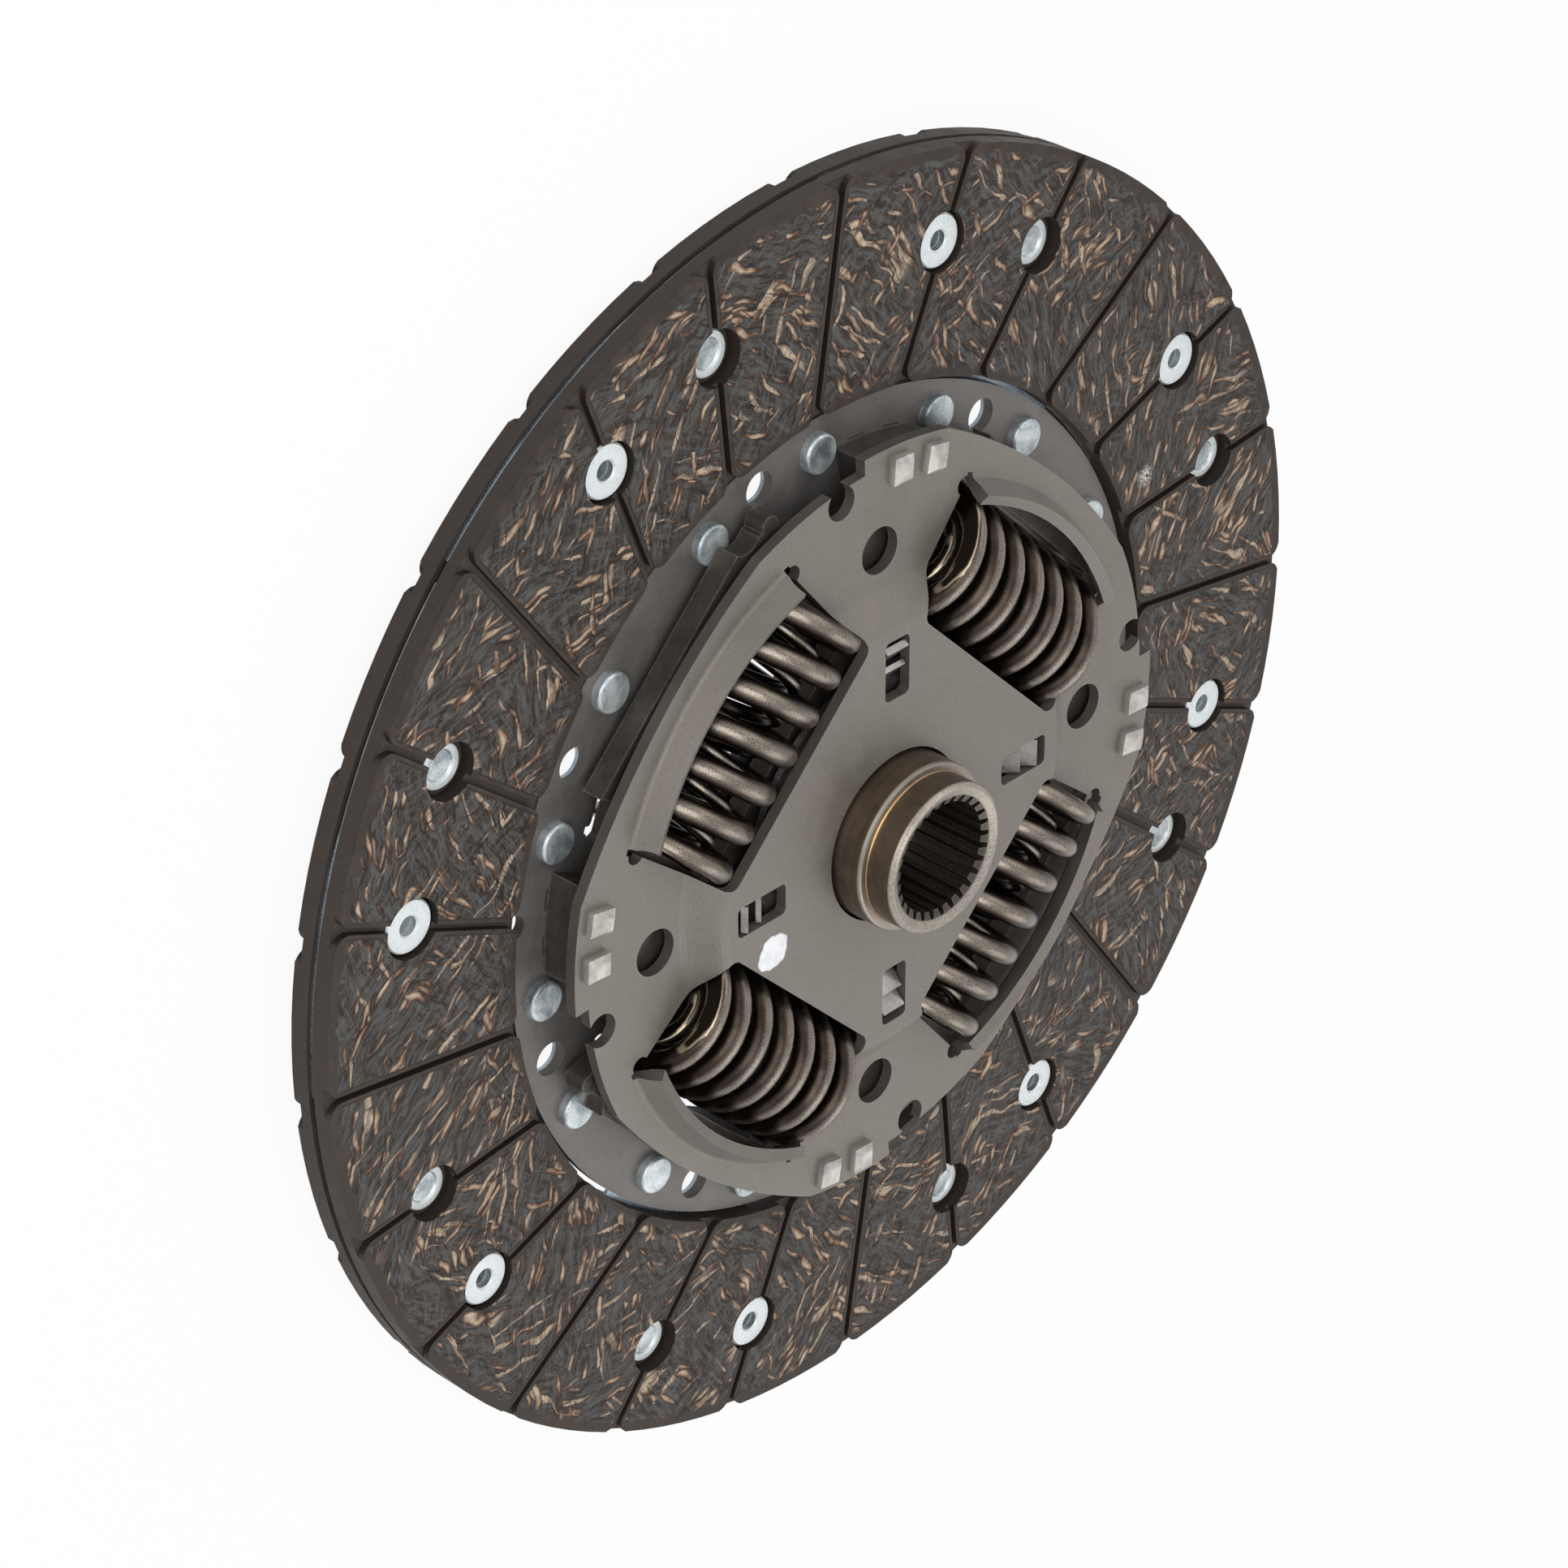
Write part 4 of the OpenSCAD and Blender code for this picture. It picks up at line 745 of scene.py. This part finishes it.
# a coil is a circle carried along a helix: the circle's middle stands at mean radius and turns with t,
# its height follows the rise, and the ends are cut flat and closed by fans
def coilSurface(kind):
    wire, sides, length, hand = kind["wire"], kind["sides"], coils["length"], kind["hand"]
    count = int(kind["turns"] * kind["steps"])
    t = np.linspace(0, kind["turns"], count + 1)
    bend = np.linspace(0, 2 * math.pi, sides, endpoint=False) + math.pi / sides
    mean = kind["radius"] - wire / 2
    reach = mean + wire / 2 * np.cos(bend)[None, :]
    x = reach * np.cos(2 * math.pi * t)[:, None]
    y = hand * reach * np.sin(2 * math.pi * t)[:, None]
    free = coilRise(kind, t)[:, None] + wire / 2 * np.sin(bend)[None, :]
    z = np.clip(free, -length / 2, length / 2)
    ground = np.clip(np.abs(free - z) / coils["deep"], 0, 1).ravel()
    points = np.stack([x, y, z], -1).reshape(-1, 3)
    points = np.vstack([points, points[:sides].mean(0), points[-sides:].mean(0)])
    faces = [gridFaces(count + 1, sides)[:, ::-hand],
             fanFaces(0, sides, len(points) - 2)[:, ::-hand],
             fanFaces(count * sides, sides, len(points) - 1)[:, ::hand]]
    run = np.hypot(2 * math.pi * mean, length / kind["turns"])
    # the fans' middle points stand half way round
    u = np.concatenate([(t * run)[:, None].repeat(sides, 1).ravel(), [0, 0]])
    v = np.concatenate([(bend / (2 * math.pi))[None, :].repeat(count + 1, 0).ravel(), [0.5, 0.5]])
    return points, faces, u, v, np.concatenate([ground, [0, 0]])


# UV map of a wire: along it in millimetres and round it from 0 to 1, and faces that close the circle
# run from the last side to one full round
def mapWire(mesh, u, v):
    corner = np.zeros(len(mesh.loops), int)
    mesh.loops.foreach_get("vertex_index", corner)
    total = np.zeros(len(mesh.polygons), int)
    mesh.polygons.foreach_get("loop_total", total)
    owner = np.repeat(np.arange(len(total)), total)
    around = v[corner]
    widest = np.zeros(len(total))
    np.maximum.at(widest, owner, around)
    around = np.where((widest[owner] > 0.9) & (around < 0.2), around + 1, around)
    layer = mesh.uv_layers.new(name="wire")
    layer.data.foreach_set("uv", np.stack([u[corner], around], -1).ravel())


def addCoil(name, kind, number):
    points, faces, u, v, ground = coilSurface(kind)
    # in its window the coil's axis lies along the window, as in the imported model
    window = Matrix.Rotation(math.radians(coils["firstBay"] + 90 * (number - 1)), 3, "Z")
    turn = window @ Matrix.Rotation(math.radians(90), 3, "X") @ Matrix.Rotation(math.radians(-90), 3, "Z")
    bay = window @ Vector((coils["ring"], 0, 0))
    points = points @ np.array(turn).T + np.array([bay.x, bay.y, coils["height"]])
    piece = newPiece(name, points, faces, finishes["coil"], "springs")
    piece.data.attributes.new("ground", "FLOAT", "POINT").data.foreach_set("value", ground)
    mapWire(piece.data, u, v)
    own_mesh(piece)
    return piece


for number in range(1, 5):
    for kind in ("outer", "inner"):
        coil = addCoil("coil_%s_%d" % (kind, number), coils[kind], number)
        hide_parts("%s_spring_%d" % (kind, number))
print("springs wound")

paint = {
    "middle": (-9.3, 29.2), "top": 22.6, "radius": 3.15, "thick": 0.16, "rings": 10, "spokes": 64,
    "waves": [(3, 0.04, 2.0), (5, 0.03, 0.0), (11, 0.025, 1.0)],  # how many, height, start
    "lobes": [(-57, 38, 0.24), (122, 20, 0.16), (35, 25, 0.08)],  # direction, width, height
    "white": shade(240, 241, 243), "grey": shade(222, 224, 228),
    "grain": 0.5, "clouds": 2.0, "gloss": (0.35, 0.5), "relief": 0.03, "strength": 0.5,
}


def paintFinish():
    material, tree, skin, spot = newFinish("paintSpot")
    cloud = place(tree, grain, Place=spot, Size=paint["grain"], Cloud=paint["clouds"])
    colour = layOver(tree, paint["white"], paint["grey"], cloud["Clouds"])
    rough = spread(tree, cloud["Fine"], 0, 1, paint["gloss"])
    dress(tree, skin, colour, 0.0, rough, cloud["Height"], paint["relief"], paint["strength"])
    return material


# paint spot: radius over the angle is a circle with small waves and three lobes, height is a flat dome
def paintSpot():
    rings, spokes = paint["rings"], paint["spokes"]
    around = np.linspace(0, 2 * math.pi, spokes, endpoint=False)
    r, a = np.meshgrid(np.linspace(0, 1, rings + 1)[1:], around, indexing="ij")
    edge = np.ones_like(a)
    for count, high, start in paint["waves"]:
        edge = edge + high * np.sin(count * a + start)
    for toward, wide, high in paint["lobes"]:
        gap = (a - math.radians(toward) + math.pi) % (2 * math.pi) - math.pi
        edge = edge + high * np.exp(-(gap / math.radians(wide)) ** 2)
    reach = r * (edge * paint["radius"])
    x, y = paint["middle"]
    z = paint["top"] + paint["thick"] * np.sqrt(np.clip(1 - r ** 4, 0, 1))
    points = np.stack([x + reach * np.cos(a), y + reach * np.sin(a), z], -1).reshape(-1, 3)
    points = np.vstack([points, [x, y, paint["top"] + paint["thick"]], [x, y, paint["top"]]])
    faces = [gridFaces(rings, spokes)[:, ::-1],
             fanFaces(0, spokes, len(points) - 2),
             fanFaces((rings - 1) * spokes, spokes, len(points) - 1)[:, ::-1]]
    newPiece("paint_spot", points, faces, paintFinish(), "disc")


paintSpot()
print("paint spot laid")


# floor, light and camera

studio = {
    "floor": 3.0, "drop": 0.0003, "pale": (0.86, 0.86, 0.87, 1), "floorRough": 0.9, "glow": 0.93,
    "world": 0.5, "white": (1, 1, 1, 1),
    "lamps": [
        # name, place, size, watts
        ("key", (0.42, 0.73, 0.85), 0.9, 7.5),
        ("fill", (0.80, -0.55, 0.85), 0.8, 2.8),
        ("card", (-0.80, -0.30, 0.85), 0.8, 3.0),
    ],
    "camera": (0.43507, 0.50125, 0.47779), "aim": (0.0112, 0.01434, 0.011), "roll": 116.839,
    "lens": 112.62, "sensor": 36, "nearest": 0.01,
}


def seenDirectly(tree):
    rays = put(tree, "ShaderNodeLightPath").outputs
    seen = sums(tree, "MAXIMUM", rays["Is Camera Ray"], rays["Is Transmission Ray"])
    return sums(tree, "MAXIMUM", seen, rays["Is Glossy Ray"])


def makeFloor():
    half = studio["floor"] / 2
    mesh = bpy.data.meshes.new("floor")
    corners = [(-half, -half, 0), (half, -half, 0), (half, half, 0), (-half, half, 0)]
    mesh.from_pydata(corners, [], [(0, 1, 2, 3)])
    floor = bpy.data.objects.new("floor", mesh)
    bpy.context.scene.collection.objects.link(floor)
    floor.location = (0, 0, -studio["drop"])
    material = bpy.data.materials.new("paleFloor")
    material.use_nodes = True
    tree = material.node_tree
    skin = tree.nodes["Principled BSDF"]
    skin.inputs["Base Color"].default_value = studio["pale"]
    skin.inputs["Roughness"].default_value = studio["floorRough"]
    glow = put(tree, "ShaderNodeEmission")
    glow.inputs["Color"].default_value = studio["white"]
    mix = put(tree, "ShaderNodeMixShader")
    feed(tree, mix.inputs[0], times(tree, seenDirectly(tree), studio["glow"]))
    feed(tree, mix.inputs[1], skin.outputs[0])
    feed(tree, mix.inputs[2], glow.outputs[0])
    feed(tree, tree.nodes["Material Output"].inputs["Surface"], mix.outputs[0])
    mesh.materials.append(material)


def makeLight():
    world = bpy.data.worlds.new("studio")
    bpy.context.scene.world = world
    world.use_nodes = True
    tree = world.node_tree
    back = tree.nodes["Background"]
    level = sums(tree, "MULTIPLY_ADD", seenDirectly(tree), 1 - studio["world"], studio["world"])
    back.inputs["Color"].default_value = studio["white"]
    feed(tree, back.inputs["Strength"], level)
    for name, spot, size, watts in studio["lamps"]:
        lamp = bpy.data.lights.new(name, "AREA")
        lamp.shape, lamp.size, lamp.energy = "SQUARE", size, watts
        holder = bpy.data.objects.new(name, lamp)
        holder.location = spot
        holder.rotation_euler = (-Vector(spot)).to_track_quat("-Z", "Y").to_euler()
        bpy.context.scene.collection.objects.link(holder)


def makeCamera():
    camera = bpy.data.cameras.new("camera")
    camera.lens, camera.sensor_width, camera.clip_start = studio["lens"], studio["sensor"], studio["nearest"]
    holder = bpy.data.objects.new("camera", camera)
    sight = Vector(studio["aim"]) - Vector(studio["camera"])
    level = sight.to_track_quat("-Z", "Y").to_matrix()
    holder.matrix_world = (level @ Matrix.Rotation(math.radians(studio["roll"]), 3, "Z")).to_4x4()
    holder.location = studio["camera"]
    bpy.context.scene.collection.objects.link(holder)
    bpy.context.scene.camera = holder


makeFloor()
makeLight()
makeCamera()
bpy.context.scene.view_settings.view_transform = "Standard"
print("floor, light and camera set")
